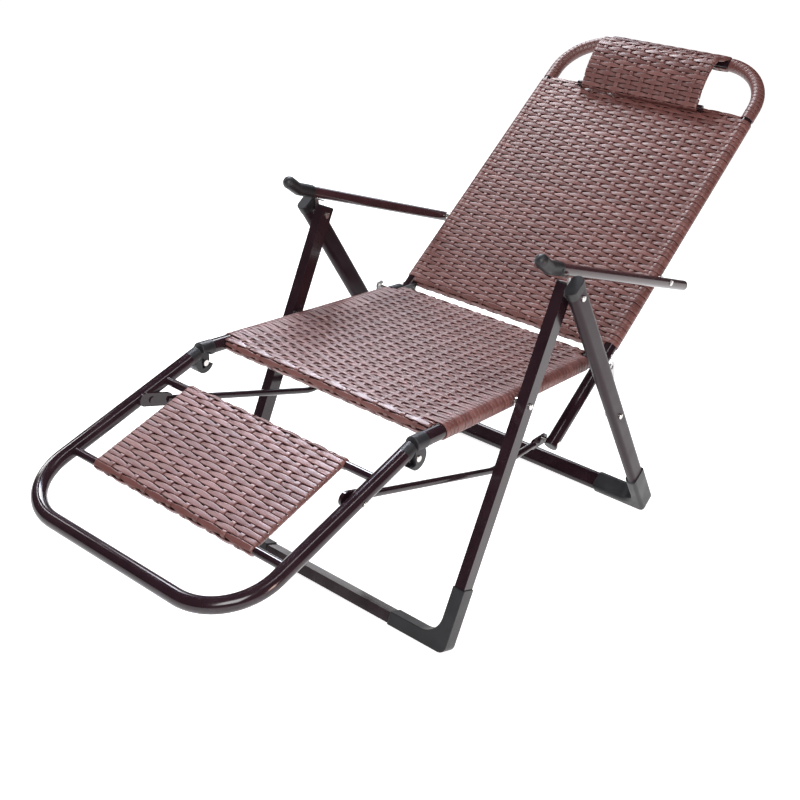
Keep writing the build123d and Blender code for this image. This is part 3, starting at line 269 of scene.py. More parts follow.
class Bundle:
    """Many strands gathered into one mesh."""

    ACROSS_SHARES = (1.0, 0.9, 0.72, 0.0, -0.72, -0.9, -1.0, -1.0, -0.9, 0.0, 0.9, 1.0)
    RISE_SHARES = (0.35, 0.85, 0.97, 1.0, 0.97, 0.85, 0.35, -0.35, -1.0, -1.0, -1.0, -0.35)
    RING = len(ACROSS_SHARES)
    CAP = ((0, 11, 10, 1), (1, 10, 9, 2), (2, 9, 4, 3), (4, 9, 8, 5), (5, 8, 7, 6))

    def __init__(self):
        self.vertices, self.quads, self.uv, self.tone = [], [], [], []
        self.count = 0

    def strand(self, path, side, up, width, thickness, tone):
        """Add a flat strand with rounded edges along a path, closed at both ends."""
        n, ring = len(path), self.RING
        across = np.array(self.ACROSS_SHARES)
        rise = np.array(self.RISE_SHARES)
        width = np.broadcast_to(width, (n,))
        thickness = np.broadcast_to(thickness, (n,))
        section = (
            side[:, None, :] * (across[None, :] * width[:, None] * 0.5 * MM)[..., None]
            + up[:, None, :] * (rise[None, :] * thickness[:, None] * 0.5 * MM)[..., None]
        )
        points = path[:, None, :] + section
        length = running_length(path)
        u = np.broadcast_to(length[:, None], (n, ring)) / MM
        v = np.broadcast_to(across[None, :] * 0.5 + 0.5, (n, ring))
        offset = tone * TONE_SHIFT
        along = u.ravel() + offset * TONE_SHIFT_ALONG
        self.vertices.append(points.reshape(-1, 3))
        self.uv.append(np.stack([along, v.ravel() + offset], axis=-1))
        self.tone.append(np.full(n * ring, tone))
        rows = np.arange(n - 1)[:, None] * ring
        column = np.arange(ring)[None, :]
        following = (column + 1) % ring
        quads = np.stack(
            [rows + column, rows + following, rows + ring + following, rows + ring + column],
            axis=-1,
        ).reshape(-1, 4)
        cap = np.array(self.CAP)
        end = cap[:, ::-1] + (n - 1) * ring
        self.quads.append(np.concatenate([quads, cap, end]) + self.count)
        self.count += n * ring

    def build(self, name, material):
        """One mesh of all the strands."""
        return make_mesh(
            name, np.concatenate(self.vertices), np.concatenate(self.quads),
            np.concatenate(self.uv), np.concatenate(self.tone), material,
        )


def arc(centre, radius, begin, end, steps=24):
    """Points on an arc in the side profile, angles in degrees."""
    angle = np.radians(np.linspace(begin, end, steps))
    return [
        (centre[0] + radius * c, centre[1] + radius * s)
        for c, s in zip(np.cos(angle), np.sin(angle))
    ]


class Profile:
    """Line of a woven sheet in a member's side profile, read by its length."""

    def __init__(self, points, smooth):
        points = np.array(points, float)
        keep = np.concatenate([[True], np.linalg.norm(np.diff(points, axis=0), axis=1) > 1e-6])
        points = points[keep]
        length = running_length(points)
        self.length = length[-1]
        self.t = np.arange(0, self.length, PROFILE_STEP)
        self.line = np.stack([np.interp(self.t, length, points[:, i]) for i in (0, 1)], axis=-1)
        for _ in range(smooth):
            self.line[1:-1] = (self.line[:-2] + self.line[1:-1] * 2 + self.line[2:]) * 0.25
        tangent = np.gradient(self.line, axis=0)
        self.tangent = tangent / np.linalg.norm(tangent, axis=1)[:, None]

    def at(self, t):
        """Place, tangent and outward normal at distances along the line."""
        place = np.stack([np.interp(t, self.t, self.line[:, i]) for i in (0, 1)], axis=-1)
        tangent = np.stack([np.interp(t, self.t, self.tangent[:, i]) for i in (0, 1)], axis=-1)
        tangent = tangent / np.linalg.norm(tangent, axis=-1)[..., None]
        normal = np.stack([-tangent[..., 1], tangent[..., 0]], axis=-1)
        return place, tangent, normal


def crest(value, power=CREST_POWER):
    """Wave with flattened crests, from a sine or cosine."""
    return np.sign(value) * np.abs(value) ** power


def smooth_step(value):
    """Ease from nought to one."""
    value = np.clip(value, 0, 1)
    return value * value * (3 - 2 * value)


def planar_normals(x, d):
    """Unit normals of a line in the plane of width and outward distance."""
    dx, dd = np.gradient(x), np.gradient(d)
    size = np.hypot(dx, dd)
    return -dd / size, dx / size


def half_row(sign, last_warp):
    """Width, outward distance, relative width and freedom of a row up to its last warp."""
    x = np.linspace(0, last_warp, int(last_warp / WARP_PITCH * SAMPLES_PER_WARP) + 1)
    d = sign * WEFT_RISE * crest(np.cos(np.pi * x / WARP_PITCH))
    width = 1 - WEFT_NARROWING * (1 - d / WEFT_RISE) * 0.5
    return x, d, width, np.zeros(len(x))


def wrapped_row(sign, last_warp, centre, depth, radius, last_angle):
    """Half row that goes on round a rail whose axis lies below the sheet."""
    x, d, width, free = half_row(sign, last_warp)
    top = radius + depth
    run = np.linspace(last_warp, centre, RUN_SAMPLES + 1)[1:]
    share = smooth_step((run - last_warp) / (centre - last_warp)) ** WRAP_HASTE
    turn = np.radians(np.arange(90, last_angle, -WRAP_STEP))[1:]
    start = width[-1]
    x = np.concatenate([x, run, centre + radius * np.cos(turn)])
    d = np.concatenate([d, d[-1] + (top - d[-1]) * share, depth + radius * np.sin(turn)])
    width = np.concatenate([
        width, start + (WRAP_WIDTH - start) * share, np.full(len(turn), WRAP_WIDTH)
    ])
    free = np.concatenate([free, share, np.ones(len(turn))])
    return x, d, width, free


def tucked_row(sign, last_warp, end):
    """Half row that ends under the sheet just inside a rail."""
    x, d, width, free = half_row(sign, last_warp)
    run = np.linspace(last_warp, end, TUCK_SAMPLES + 1)[1:]
    share = smooth_step((run - last_warp) / (end - last_warp))
    x = np.concatenate([x, run])
    d = np.concatenate([d, d[-1] * (1 - share) - TUCK_DEPTH * share])
    width = np.concatenate([width, width[-1] * (1 - TUCK_NARROWING * share)])
    return x, d * TUCK_LEVEL, width, np.concatenate([free, share])


def weave_panel(name, member, profile, body, nodes, ends, materials):
    """Plain weave of packed rows over spaced warps, over a near-black sheet that paints shade into
    its gaps.
    """
    rows = int(round(profile.length / ROW_PITCH))
    pitch = profile.length / rows
    first = pitch * 0.5
    wefts, warps = Bundle(), Bundle()
    for k in range(rows):
        t = first + k * pitch
        place, tangent, normal = profile.at(np.array(t))
        sign = 1.0 if k % 2 == 0 else -1.0
        x, d, width, free = ends.row(sign, place, normal)
        x = np.concatenate([-x[:0:-1], x])
        d = np.concatenate([d[:0:-1], d])
        width = np.concatenate([width[:0:-1], width])
        free = np.concatenate([free[:0:-1], free])
        shift = random.normal(0, ROW_SCATTER) + sign * ROW_LEAN * free
        wobble = ROW_WOBBLE * np.sin(x * ROW_WOBBLE_RATE + random.uniform(0, 6))
        s = place[0] + normal[0] * d + tangent[0] * (shift + wobble)
        h = place[1] + normal[1] * d + tangent[1] * (shift + wobble)
        nx, nd = planar_normals(x, d)
        up = member.directions(nx, nd * normal[0], nd * normal[1])
        side = member.directions(
            np.zeros(len(x)), np.full(len(x), tangent[0]), np.full(len(x), tangent[1])
        )
        scale = pitch / ROW_PITCH
        wefts.strand(
            member.points(x, s, h), side, up, width * WEFT_WIDTH * scale,
            WEFT_THICKNESS * (1 + WRAP_SWELL * free), random.uniform(0, 1),
        )
    count = int(round(ends.widest / WARP_PITCH))
    for j in range(-count, count + 1):
        t = ends.warp_span(profile, abs(j) * WARP_PITCH, pitch / SAMPLES_PER_ROW)
        place, tangent, normal = profile.at(t)
        phase = np.pi * ((t - first) / pitch + j)
        d = -WARP_RISE * crest(np.cos(phase), WARP_CREST_POWER)
        s = place[:, 0] + normal[:, 0] * d
        h = place[:, 1] + normal[:, 1] * d
        x = np.full(len(t), j * WARP_PITCH + random.normal(0, WARP_SCATTER))
        x = x + WARP_WOBBLE * np.sin(t * WARP_WOBBLE_RATE + random.uniform(0, 6))
        slope = np.gradient(d, t)
        ns = normal[:, 0] - slope * tangent[:, 0]
        nh = normal[:, 1] - slope * tangent[:, 1]
        size = np.hypot(ns, nh)
        up = member.directions(np.zeros(len(t)), ns / size, nh / size)
        side = member.directions(-np.ones(len(t)), np.zeros(len(t)), np.zeros(len(t)))
        warps.strand(
            member.points(x, s, h), side, up, WARP_WIDTH, WARP_THICKNESS, random.uniform(0, 1)
        )
    weft_object = wefts.build(name + "_wefts", materials["wicker"])
    warp_object = warps.build(name + "_warps", materials["wicker"])
    shade_sheet_object = shade_sheet_mesh(name + "_shade_sheet", member, profile, ends, materials["shade_sheet"])
    for obj in (weft_object, warp_object, shade_sheet_object):
        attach(obj, body)
    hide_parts(*nodes)


def shade_sheet_mesh(name, member, profile, ends, material):
    """Thin near-black sheet inside the weave, which keeps light out of its gaps and paints them in
    shade.
    """
    begin, end = SHADE_SHEET_INSET[0], profile.length - SHADE_SHEET_INSET[1]
    t = np.linspace(begin, end, int(profile.length / SHADE_SHEET_STEP))
    place, _, normal = profile.at(t)
    half = np.array([ends.shade_sheet(p, n) for p, n in zip(place, normal)])
    faces = []
    for depth in (-SHADE_SHEET_DEPTH, -SHADE_SHEET_DEPTH - SHADE_SHEET_THICKNESS):
        s = place[:, 0] + normal[:, 0] * depth
        h = place[:, 1] + normal[:, 1] * depth
        faces.append((s, h))
    ring = []
    corners = ((-half, faces[0]), (half, faces[0]), (half, faces[1]), (-half, faces[1]))
    for x, (s, h) in corners:
        ring.append(member.points(x, s, h))
    points = np.stack(ring, axis=1).reshape(-1, 3)
    rows = np.arange(len(t) - 1)[:, None] * 4
    column = np.arange(4)[None, :]
    following = (column + 1) % 4
    quads = np.stack(
        [rows + column, rows + 4 + column, rows + 4 + following, rows + following], axis=-1
    ).reshape(-1, 4)
    last = (len(t) - 1) * 4
    caps = np.array([[0, 1, 2, 3], [last + 3, last + 2, last + 1, last]])
    return make_mesh(name, points, np.concatenate([quads, caps]), material=material)


# Materials

WORN_EDGE_RADIUS = 0.0006


def node_material(name):
    """New material with its node tree and its main shader."""
    material = bpy.data.materials.new(name)
    material.use_nodes = True
    tree = material.node_tree
    shader = tree.nodes["Principled BSDF"]
    return material, tree, shader


def linked(tree, kind, inputs=None, **settings):
    """New shader node with its settings and its input values or links."""
    node = tree.nodes.new(kind)
    for key, value in settings.items():
        setattr(node, key, value)
    for key, value in (inputs or {}).items():
        if isinstance(value, bpy.types.NodeSocket):
            tree.links.new(value, node.inputs[key])
        else:
            node.inputs[key].default_value = value
    return node


def ramp(tree, factor, stops):
    """Colour from a factor, through stops of position and colour."""
    node = tree.nodes.new("ShaderNodeValToRGB")
    tree.links.new(factor, node.inputs["Fac"])
    elements = node.color_ramp.elements
    while len(elements) < len(stops):
        elements.new(0.5)
    for element, (position, colour) in zip(elements, stops):
        element.position = position
        element.color = (*colour, 1.0)
    return node.outputs["Color"]


def wicker_material():
    """Flat resin strand: brown streaks along its length, satin, finely grooved."""
    material, tree, shader = node_material("wicker_strand")
    coordinates = linked(tree, "ShaderNodeUVMap", uv_map="strand").outputs["UV"]
    stretched = linked(
        tree, "ShaderNodeMapping", {"Vector": coordinates, "Scale": (0.02, 6.0, 1.0)}
    ).outputs["Vector"]
    streak = linked(
        tree, "ShaderNodeTexNoise",
        {"Vector": stretched, "Scale": 1.0, "Detail": 3.0, "Roughness": 0.6},
    ).outputs["Fac"]
    tone = linked(tree, "ShaderNodeAttribute", attribute_name="tone").outputs["Fac"]
    place = linked(tree, "ShaderNodeTexCoord").outputs["Object"]
    patch = linked(
        tree, "ShaderNodeTexNoise", {"Vector": place, "Scale": 9.0, "Detail": 2.0}
    ).outputs["Fac"]
    mixed = linked(
        tree, "ShaderNodeMath", {0: streak, 1: tone}, operation="ADD"
    ).outputs["Value"]
    mixed = linked(
        tree, "ShaderNodeMath", {0: mixed, 1: patch}, operation="ADD"
    ).outputs["Value"]
    share = linked(
        tree, "ShaderNodeMapRange",
        {"Value": mixed, "From Min": 0.7, "From Max": 2.3},
    ).outputs["Result"]
    colour = ramp(tree, share, [
        (0.0, (0.100, 0.031, 0.027)),
        (0.5, (0.143, 0.050, 0.043)),
        (1.0, (0.190, 0.075, 0.066)),
    ])
    tree.links.new(colour, shader.inputs["Base Color"])
    rough = linked(
        tree, "ShaderNodeMapRange", {"Value": streak, "To Min": 0.36, "To Max": 0.48}
    ).outputs["Result"]
    tree.links.new(rough, shader.inputs["Roughness"])
    shader.inputs["Specular IOR Level"].default_value = 0.7
    shader.inputs["Coat Weight"].default_value = 0.15
    shader.inputs["Coat Roughness"].default_value = 0.3
    shader.inputs["Coat Tint"].default_value = (0.93, 0.95, 1.0, 1.0)
    groove = linked(
        tree, "ShaderNodeBump", {"Height": streak, "Strength": 0.5, "Distance": 0.0006}
    ).outputs["Normal"]
    tree.links.new(groove, shader.inputs["Normal"])
    return material


def shade_sheet_material():
    """Dull, nearly black sheet: painted shade in the weave's gaps."""
    material, tree, shader = node_material("weave_shade_sheet")
    place = linked(tree, "ShaderNodeTexCoord").outputs["Object"]
    grain = linked(tree, "ShaderNodeTexNoise", {"Vector": place, "Scale": 300.0}).outputs["Fac"]
    colour = ramp(tree, grain, [(0.3, (0.010, 0.004, 0.004)), (0.7, (0.022, 0.010, 0.009))])
    tree.links.new(colour, shader.inputs["Base Color"])
    shader.inputs["Roughness"].default_value = 0.8
    shader.inputs["Specular IOR Level"].default_value = 0.1
    return material


def edge_mask(tree):
    """Bright along edges, from the difference of rounded and flat normals."""
    rounded = linked(
        tree, "ShaderNodeBevel", {"Radius": WORN_EDGE_RADIUS}, samples=4
    ).outputs["Normal"]
    flat = linked(tree, "ShaderNodeNewGeometry").outputs["Normal"]
    dot = linked(tree, "ShaderNodeVectorMath", {0: rounded, 1: flat}, operation="DOT_PRODUCT")
    return linked(
        tree, "ShaderNodeMapRange",
        {"Value": dot.outputs["Value"], "From Min": 0.99, "From Max": 0.8},
    ).outputs["Result"]


def coated_material(name, dark, light, worn, rough, specular, grain_scale, grain):
    """Painted or moulded surface with fine grain, uneven gloss and lighter edges."""
    material, tree, shader = node_material(name)
    place = linked(tree, "ShaderNodeTexCoord").outputs["Object"]
    cloud = linked(
        tree, "ShaderNodeTexNoise", {"Vector": place, "Scale": 22.0, "Detail": 4.0}
    ).outputs["Fac"]
    speckle = linked(
        tree, "ShaderNodeTexNoise", {"Vector": place, "Scale": grain_scale, "Detail": 2.0}
    ).outputs["Fac"]
    colour = ramp(tree, cloud, [(0.3, dark), (0.7, light)])
    mask = edge_mask(tree)
    wear = linked(
        tree, "ShaderNodeMath", {0: mask, 1: speckle}, operation="MULTIPLY"
    ).outputs["Value"]
    mixed = linked(tree, "ShaderNodeMix", data_type="RGBA")
    tree.links.new(wear, mixed.inputs[0])
    tree.links.new(colour, mixed.inputs[6])
    mixed.inputs[7].default_value = (*worn, 1.0)
    tree.links.new(mixed.outputs[2], shader.inputs["Base Color"])
    gloss = linked(
        tree, "ShaderNodeMapRange",
        {"Value": cloud, "From Min": 0.3, "From Max": 0.7, "To Min": rough[0], "To Max": rough[1]},
    ).outputs["Result"]
    tree.links.new(gloss, shader.inputs["Roughness"])
    shader.inputs["Specular IOR Level"].default_value = specular
    bump = linked(
        tree, "ShaderNodeBump", {"Height": speckle, "Strength": grain, "Distance": 0.0002}
    ).outputs["Normal"]
    tree.links.new(bump, shader.inputs["Normal"])
    return material


def metal_material(name, base, rough):
    """Bare bright steel with turned lines and a few dull patches."""
    material, tree, shader = node_material(name)
    place = linked(tree, "ShaderNodeTexCoord").outputs["Object"]
    patch = linked(tree, "ShaderNodeTexNoise", {"Vector": place, "Scale": 160.0}).outputs["Fac"]
    colour = ramp(tree, patch, [(0.3, tuple(0.8 * c for c in base)), (0.7, base)])
    tree.links.new(colour, shader.inputs["Base Color"])
    gloss = linked(
        tree, "ShaderNodeMapRange", {"Value": patch, "To Min": rough[0], "To Max": rough[1]}
    ).outputs["Result"]
    tree.links.new(gloss, shader.inputs["Roughness"])
    shader.inputs["Metallic"].default_value = 1.0
    scratch = linked(
        tree, "ShaderNodeTexNoise", {"Vector": place, "Scale": 900.0, "Detail": 1.0}
    ).outputs["Fac"]
    bump = linked(
        tree, "ShaderNodeBump", {"Height": scratch, "Strength": 0.2, "Distance": 0.0001}
    ).outputs["Normal"]
    tree.links.new(bump, shader.inputs["Normal"])
    return material


materials = {
    "wicker": wicker_material(),
    # Near-black sheet, painted shade in the weave's gaps
    "shade_sheet": shade_sheet_material(),
    "frame_metal": coated_material(
        "frame_paint", (0.014, 0.006, 0.009), (0.022, 0.010, 0.014), (0.06, 0.04, 0.045),
        (0.10, 0.20), 0.45, 700.0, 0.05,
    ),
    # Armrests: the frame's dark paint, lightened and reddened as a painted reflection of the weave
    # in their glossy tops
    "armrest_paint_and_painted_reflection": coated_material(
        "armrest_colour_with_painted_reflection", (0.034, 0.013, 0.017), (0.050, 0.020, 0.025), (0.08, 0.05, 0.055),
        (0.10, 0.20), 0.5, 700.0, 0.05,
    ),
    "leg_metal": coated_material(
        "leg_paint", (0.016, 0.008, 0.012), (0.026, 0.014, 0.019), (0.08, 0.06, 0.07),
        (0.30, 0.42), 0.16, 900.0, 0.08,
    ),
    "cap_plastic": coated_material(
        "cap_plastic", (0.010, 0.010, 0.012), (0.017, 0.017, 0.020), (0.06, 0.06, 0.065),
        (0.35, 0.5), 0.4, 1500.0, 0.2,
    ),
    "bolt_steel": metal_material("bolt_steel", (0.72, 0.70, 0.68), (0.18, 0.35)),
    "plate_steel": metal_material("plate_steel", (0.55, 0.54, 0.54), (0.25, 0.4)),
}

# The armrests take the dark paint with the painted reflection of the weave
SPECIAL_MATERIALS = {
    "armrest_left": "armrest_paint_and_painted_reflection", "armrest_right": "armrest_paint_and_painted_reflection",
    "rear_leg_left": "leg_metal", "rear_leg_right": "leg_metal",
}

for entry in frame["record"]["subparts"]:
    node_name = entry["node"]
    chosen = SPECIAL_MATERIALS.get(node_name, entry["material_slot"])
    node_object = frame["nodes"][node_name]
    node_object.data.materials.clear()
    node_object.data.materials.append(materials.get(chosen, materials["frame_metal"]))


# Woven panels


def warp_samples(profile, step):
    """Distances along the whole profile for a warp."""
    end = profile.length - WARP_INSET[1]
    return np.linspace(WARP_INSET[0], end, int(profile.length / step))


class RailEnds:
    """Row ends that wrap the side rails within the sleeve and tuck in beyond it.

    Wide and narrow are the places of the last warp within the sleeve and beyond it.
    """

    def __init__(self, sleeve, rail_x, radius, wide, narrow, limit):
        self.sleeve = sleeve
        self.rail_x, self.radius = rail_x, radius
        self.widest, self.narrow, self.limit = wide, narrow, limit

    def in_sleeve(self, s, normal):
        """Whether a row lies on the flat sheet, where the rails are free to wrap."""
        on_sheet = normal[..., 1] > LEVEL_NORMAL
        begin, end = self.sleeve[0] + SLEEVE_MARGIN, self.sleeve[1] - SLEEVE_MARGIN
        return on_sheet & (s > begin) & (s < end)

    def beside_rail(self, place):
        """Width at which the sheet meets the rail at its height."""
        height = max(abs(place[1]) - WEFT_THICKNESS * 0.5, 0)
        reach = math.sqrt(max(TUBE_RADIUS ** 2 - height ** 2, 0))
        return min(self.rail_x - reach - RAIL_CLEARANCE, self.limit(place[0]))

    def row(self, sign, place, normal):
        """Half row, wrapped round the rail or tucked in beside it."""
        if self.in_sleeve(place[0], normal):
            return wrapped_row(
                sign, self.widest, self.rail_x, -place[1], self.radius, RAIL_WRAP_END
            )
        return tucked_row(sign, self.narrow, self.beside_rail(place))

    def shade_sheet(self, place, normal):
        """Half width of the near-black sheet of painted shade."""
        return self.beside_rail(place)

    def warp_span(self, profile, x, step):
        """Distances along the profile that a warp at this width covers."""
        t = warp_samples(profile, step)
        if x <= self.narrow:
            return t
        place, _, normal = profile.at(t)
        return t[self.in_sleeve(place[:, 0], normal)]


class SelvedgeEnds:
    """Row ends that turn round the panel's side edge."""

    def __init__(self, centre_x, radius, widest, shade_sheet_half):
        self.centre_x, self.radius = centre_x, radius
        self.widest, self.shade_sheet_half = widest, shade_sheet_half

    def row(self, sign, place, normal):
        """Half row, wrapped round the edge."""
        return wrapped_row(
            sign, self.widest, self.centre_x, SELVEDGE_LIFT - self.radius, self.radius,
            SELVEDGE_WRAP_END,
        )

    def shade_sheet(self, place, normal):
        """Half width of the near-black sheet of painted shade."""
        return self.shade_sheet_half

    def warp_span(self, profile, x, step):
        """Distances along the whole profile, at every width."""
        return warp_samples(profile, step)


def sheet_profile(front, rear, height, radius):
    """Profile over two cross bars, rolled under each of them."""
    points = arc((front, height - radius), radius, ROLL_BEGIN, 90)
    points += arc((rear, height - radius), radius, 90, ROLL_END)
    return Profile(points, SHEET_SMOOTHING)


def seat_limit(s):
    """Room beside the rear plugs, which are thicker than the rails."""
    return SEAT_PLUG_INNER_X if s > SEAT_SLEEVE[1] else SEAT_RAIL_X


def back_limit(s):
    """Room beside the tongues at the back pivot."""
    return BACK_TONGUE_INNER_X if s < BACK_SLEEVE[0] else BACK_TUBE_X


seat_profile = sheet_profile(
    SEAT_FRONT_BAR, SEAT_REAR_BAR, SEAT_SHEET_HEIGHT, SHEET_ROLL_RADIUS
)
weave_panel(
    "seat", seat_member, seat_profile, "seat", ["seat_weave"],
    RailEnds(
        SEAT_SLEEVE, SEAT_RAIL_X, SEAT_WRAP_RADIUS, SEAT_LAST_WARP, ROLL_LAST_WARP, seat_limit
    ),
    materials,
)

back_profile = sheet_profile(
    BACK_LOWER_BAR, BACK_UPPER_BAR, BACK_SHEET_HEIGHT, SHEET_ROLL_RADIUS
)
weave_panel(
    "back", back_member, back_profile, "back", ["back_weave"],
    RailEnds(
        BACK_SLEEVE, BACK_TUBE_X, BACK_WRAP_RADIUS, BACK_LAST_WARP, ROLL_LAST_WARP, back_limit
    ),
    materials,
)

leg_rest_profile = sheet_profile(
    LEG_REST_REAR_BAR, LEG_REST_FRONT_BAR, LEG_REST_SHEET_HEIGHT, LEG_REST_ROLL_RADIUS
)
weave_panel(
    "foot_panel", leg_rest_member, leg_rest_profile, "leg_rest", ["leg_rest_weave"],
    SelvedgeEnds(
        LEG_REST_HALF_WIDTH - LEG_REST_EDGE_INSET, LEG_REST_EDGE_RADIUS, LEG_REST_LAST_WARP,
        LEG_REST_SHADE_SHEET_HALF,
    ),
    materials,
)

headrest_points = arc(HEADREST_BAR, HEADREST_BAR_WRAP_RADIUS, *HEADREST_BAR_ARC)
headrest_points += HEADREST_MIDDLE
headrest_points += arc((BACK_TOP, 0.0), HEADREST_TUBE_WRAP_RADIUS, *HEADREST_TUBE_ARC)
headrest_profile = Profile(headrest_points, HEADREST_SMOOTHING)
weave_panel(
    "headrest", back_member, headrest_profile, "back", ["headrest_weave"],
    SelvedgeEnds(
        HEADREST_HALF_WIDTH - HEADREST_EDGE_INSET, HEADREST_EDGE_RADIUS, HEADREST_LAST_WARP,
        HEADREST_SHADE_SHEET_HALF,
    ),
    materials,
)


# Wound strand on the bent tube's top corners


def back_tube_path():
    """Axis of the back tube from the panel round the corner towards the middle."""
    corner = (BACK_TUBE_X - BACK_CORNER_RADIUS, BACK_TOP - BACK_CORNER_RADIUS)
    run = np.linspace(WOUND_START, corner[1], STRAIGHT_SAMPLES)
    straight = np.array([[BACK_TUBE_X, s] for s in run])
    turn = np.radians(np.linspace(0, 90, CORNER_SAMPLES))[1:]
    round_corner = np.stack([np.cos(turn), np.sin(turn)], axis=-1)
    bend = np.array(corner) + BACK_CORNER_RADIUS * round_corner
    return np.concatenate([straight, bend[bend[:, 0] > WOUND_END_X]])


def wound_tube(name, sign):
    """Flat strand wound in close turns along one half of the tube."""
    line = back_tube_path()
    length = running_length(line)
    turns = length[-1] / WOUND_PITCH
    phase = np.linspace(0, 2 * np.pi * turns, int(turns * WOUND_SAMPLES))
    half = WOUND_PITCH * 0.5
    along = np.clip(phase / (2 * np.pi) * WOUND_PITCH, half, length[-1] - half)
    centre = np.stack([np.interp(along, length, line[:, i]) for i in (0, 1)], axis=-1)
    tangent = np.stack(
        [np.interp(along, length, np.gradient(line[:, i], length)) for i in (0, 1)], axis=-1
    )
    tangent = tangent / np.linalg.norm(tangent, axis=1)[:, None]
    inward = np.stack([tangent[:, 1], -tangent[:, 0]], axis=-1)
    radial_x = inward[:, 0] * np.cos(phase)
    radial_s = inward[:, 1] * np.cos(phase)
    radial_h = np.sin(phase)
    radius = TUBE_RADIUS + WOUND_LIFT
    path = back_member.points(
        sign * (centre[:, 0] + radial_x * radius), centre[:, 1] + radial_s * radius,
        radial_h * radius,
    )
    up = back_member.directions(sign * radial_x, radial_s, radial_h)
    side = back_member.directions(sign * tangent[:, 0], tangent[:, 1], np.zeros(len(phase)))
    # The mirrored strand is turned so that its faces still look outwards
    if sign < 0:
        side = -side
    bundle = Bundle()
    bundle.strand(path, side, up, WOUND_PITCH - WOUND_GAP, WOUND_THICKNESS, WOUND_TONE)
    obj = bundle.build(name, materials["wicker"])
    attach(obj, "back")
    return obj


near_wrap = wound_tube("top_wrap_left", 1.0)
wound_tube("top_wrap_right", -1.0)
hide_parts("back_top_wraps")


# Floor, world, lamps and camera

FLOOR_REACH = 12.0
FLOOR_GLOW = 0.8
WORLD_LIGHT = 0.3
WORLD_SHINE_CUT = 0.94
COOL = (0.93, 0.95, 1.0)
WARM = (1.0, 0.7, 0.6)
SKY = (0.8, 0.88, 1.0)
LILAC = (0.78, 0.84, 1.0)
CAMERA_PLACE = (1.0735, -1.5976, 1.2417)
CAMERA_YAW = 36.07
CAMERA_PITCH = 26.63
CAMERA_ROLL = 4.71
FOCAL_PIXELS = 1123.4
FRAME_PIXELS = 800.0
SENSOR = 36.0


def viewer_rays(tree, light):
    """One for camera, glossy and transmission rays, nought for the others."""
    seen = light.outputs["Is Camera Ray"]
    for kind in ("Is Glossy Ray", "Is Transmission Ray"):
        seen = linked(
            tree, "ShaderNodeMath", {0: seen, 1: light.outputs[kind]}, operation="MAXIMUM"
        ).outputs["Value"]
    return seen


def floor():
    """White paper that glows to the camera and in reflections."""
    reach = FLOOR_REACH
    vertices = [(-reach, -reach, 0), (reach, -reach, 0), (reach, reach, 0), (-reach, reach, 0)]
    obj = make_mesh("floor", np.array(vertices), [[0, 1, 2, 3]])
    material, tree, shader = node_material("floor_paper")
    shader.inputs["Base Color"].default_value = (0.86, 0.86, 0.86, 1)
    shader.inputs["Roughness"].default_value = 0.9
    shader.inputs["Specular IOR Level"].default_value = 0.1
    light = tree.nodes.new("ShaderNodeLightPath")
    seen = viewer_rays(tree, light)
    glow = linked(
        tree, "ShaderNodeMath", {0: seen, 1: FLOOR_GLOW}, operation="MULTIPLY"
    ).outputs["Value"]
    shader.inputs["Emission Color"].default_value = (1, 1, 1, 1)
    tree.links.new(glow, shader.inputs["Emission Strength"])
    obj.data.materials.append(material)


def world():
    """White to the camera and through glass, faint in reflections, grey light elsewhere."""
    made = bpy.data.worlds.new("studio")
    bpy.context.scene.world = made
    made.use_nodes = True
    tree = made.node_tree
    background = tree.nodes["Background"]
    background.inputs["Color"].default_value = (1, 1, 1, 1)
    light = tree.nodes.new("ShaderNodeLightPath")
    seen = viewer_rays(tree, light)
    strength = linked(
        tree, "ShaderNodeMapRange", {"Value": seen, "To Min": WORLD_LIGHT, "To Max": 1.0}
    ).outputs["Result"]
    shine = linked(
        tree, "ShaderNodeMath", {0: light.outputs["Is Glossy Ray"], 1: WORLD_SHINE_CUT},
        operation="MULTIPLY",
    ).outputs["Value"]
    strength = linked(
        tree, "ShaderNodeMath", {0: strength, 1: shine}, operation="SUBTRACT"
    ).outputs["Value"]
    tree.links.new(strength, background.inputs["Strength"])


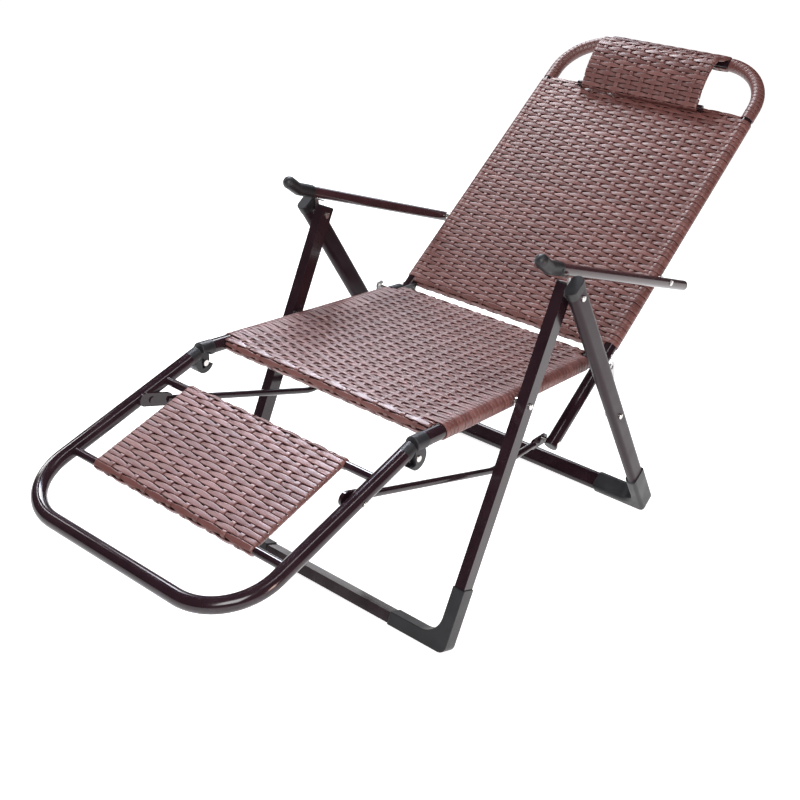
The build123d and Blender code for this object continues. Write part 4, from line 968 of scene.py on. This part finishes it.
def area_lamp(name, place, target, size, power, colour=(1, 1, 1), spread=180):
    """Rectangular lamp in metres and watts, turned to its target, spread in degrees."""
    data = bpy.data.lights.new(name, "AREA")
    data.shape = "RECTANGLE"
    data.size, data.size_y = size
    data.energy = power
    data.color = colour
    data.spread = math.radians(spread)
    obj = bpy.data.objects.new(name, data)
    bpy.context.scene.collection.objects.link(obj)
    obj.location = place
    direction = Vector(target) - Vector(place)
    obj.rotation_mode = "QUATERNION"
    obj.rotation_quaternion = direction.to_track_quat("-Z", "Y")


floor()
world()
area_lamp("key", (-1.5, 1.25, 2.5), (0, -0.2, 0.4), (1.4, 1.1), 62, COOL)
area_lamp("sky", (-1.35, 2.2, 1.2), (0, 0, 0.42), (1.3, 0.6), 6, SKY)
area_lamp("foot_grid", (-1.3, 0.6, 2.5), (0, -0.6, 0.35), (0.7, 0.7), 1.5, LILAC, 24)
area_lamp("strip", (1.0, -0.2, 2.45), (0.2, 0, 0.5), (1.7, 0.16), 9)
area_lamp("front", (1.1, -2.4, 2.1), (0, 0.1, 0.55), (1.3, 1.3), 60)
area_lamp("rim", (-2.2, -0.4, 1.6), (0, 0, 0.4), (0.14, 1.6), 14)
area_lamp("warm_side", (2.6, -0.5, 0.7), (0.2, 0, 0.4), (0.5, 0.8), 20, WARM)


def camera():
    """Camera of the photograph, with the angles in degrees."""
    yaw, pitch, roll = (math.radians(a) for a in (CAMERA_YAW, CAMERA_PITCH, CAMERA_ROLL))
    forward = Vector((
        -math.sin(yaw) * math.cos(pitch), math.cos(yaw) * math.cos(pitch), -math.sin(pitch),
    ))
    level = Vector((math.cos(yaw), math.sin(yaw), 0))
    upright = level.cross(forward)
    right = level * math.cos(roll) + upright * math.sin(roll)
    up = upright * math.cos(roll) - level * math.sin(roll)
    data = bpy.data.cameras.new("camera")
    data.sensor_width = SENSOR
    data.lens = SENSOR * FOCAL_PIXELS / FRAME_PIXELS
    obj = bpy.data.objects.new("camera", data)
    bpy.context.scene.collection.objects.link(obj)
    rotation = Matrix((right, up, -forward)).transposed()
    obj.matrix_world = Matrix.Translation(CAMERA_PLACE) @ rotation.to_4x4()
    bpy.context.scene.camera = obj


camera()
bpy.context.scene.view_settings.view_transform = "Standard"
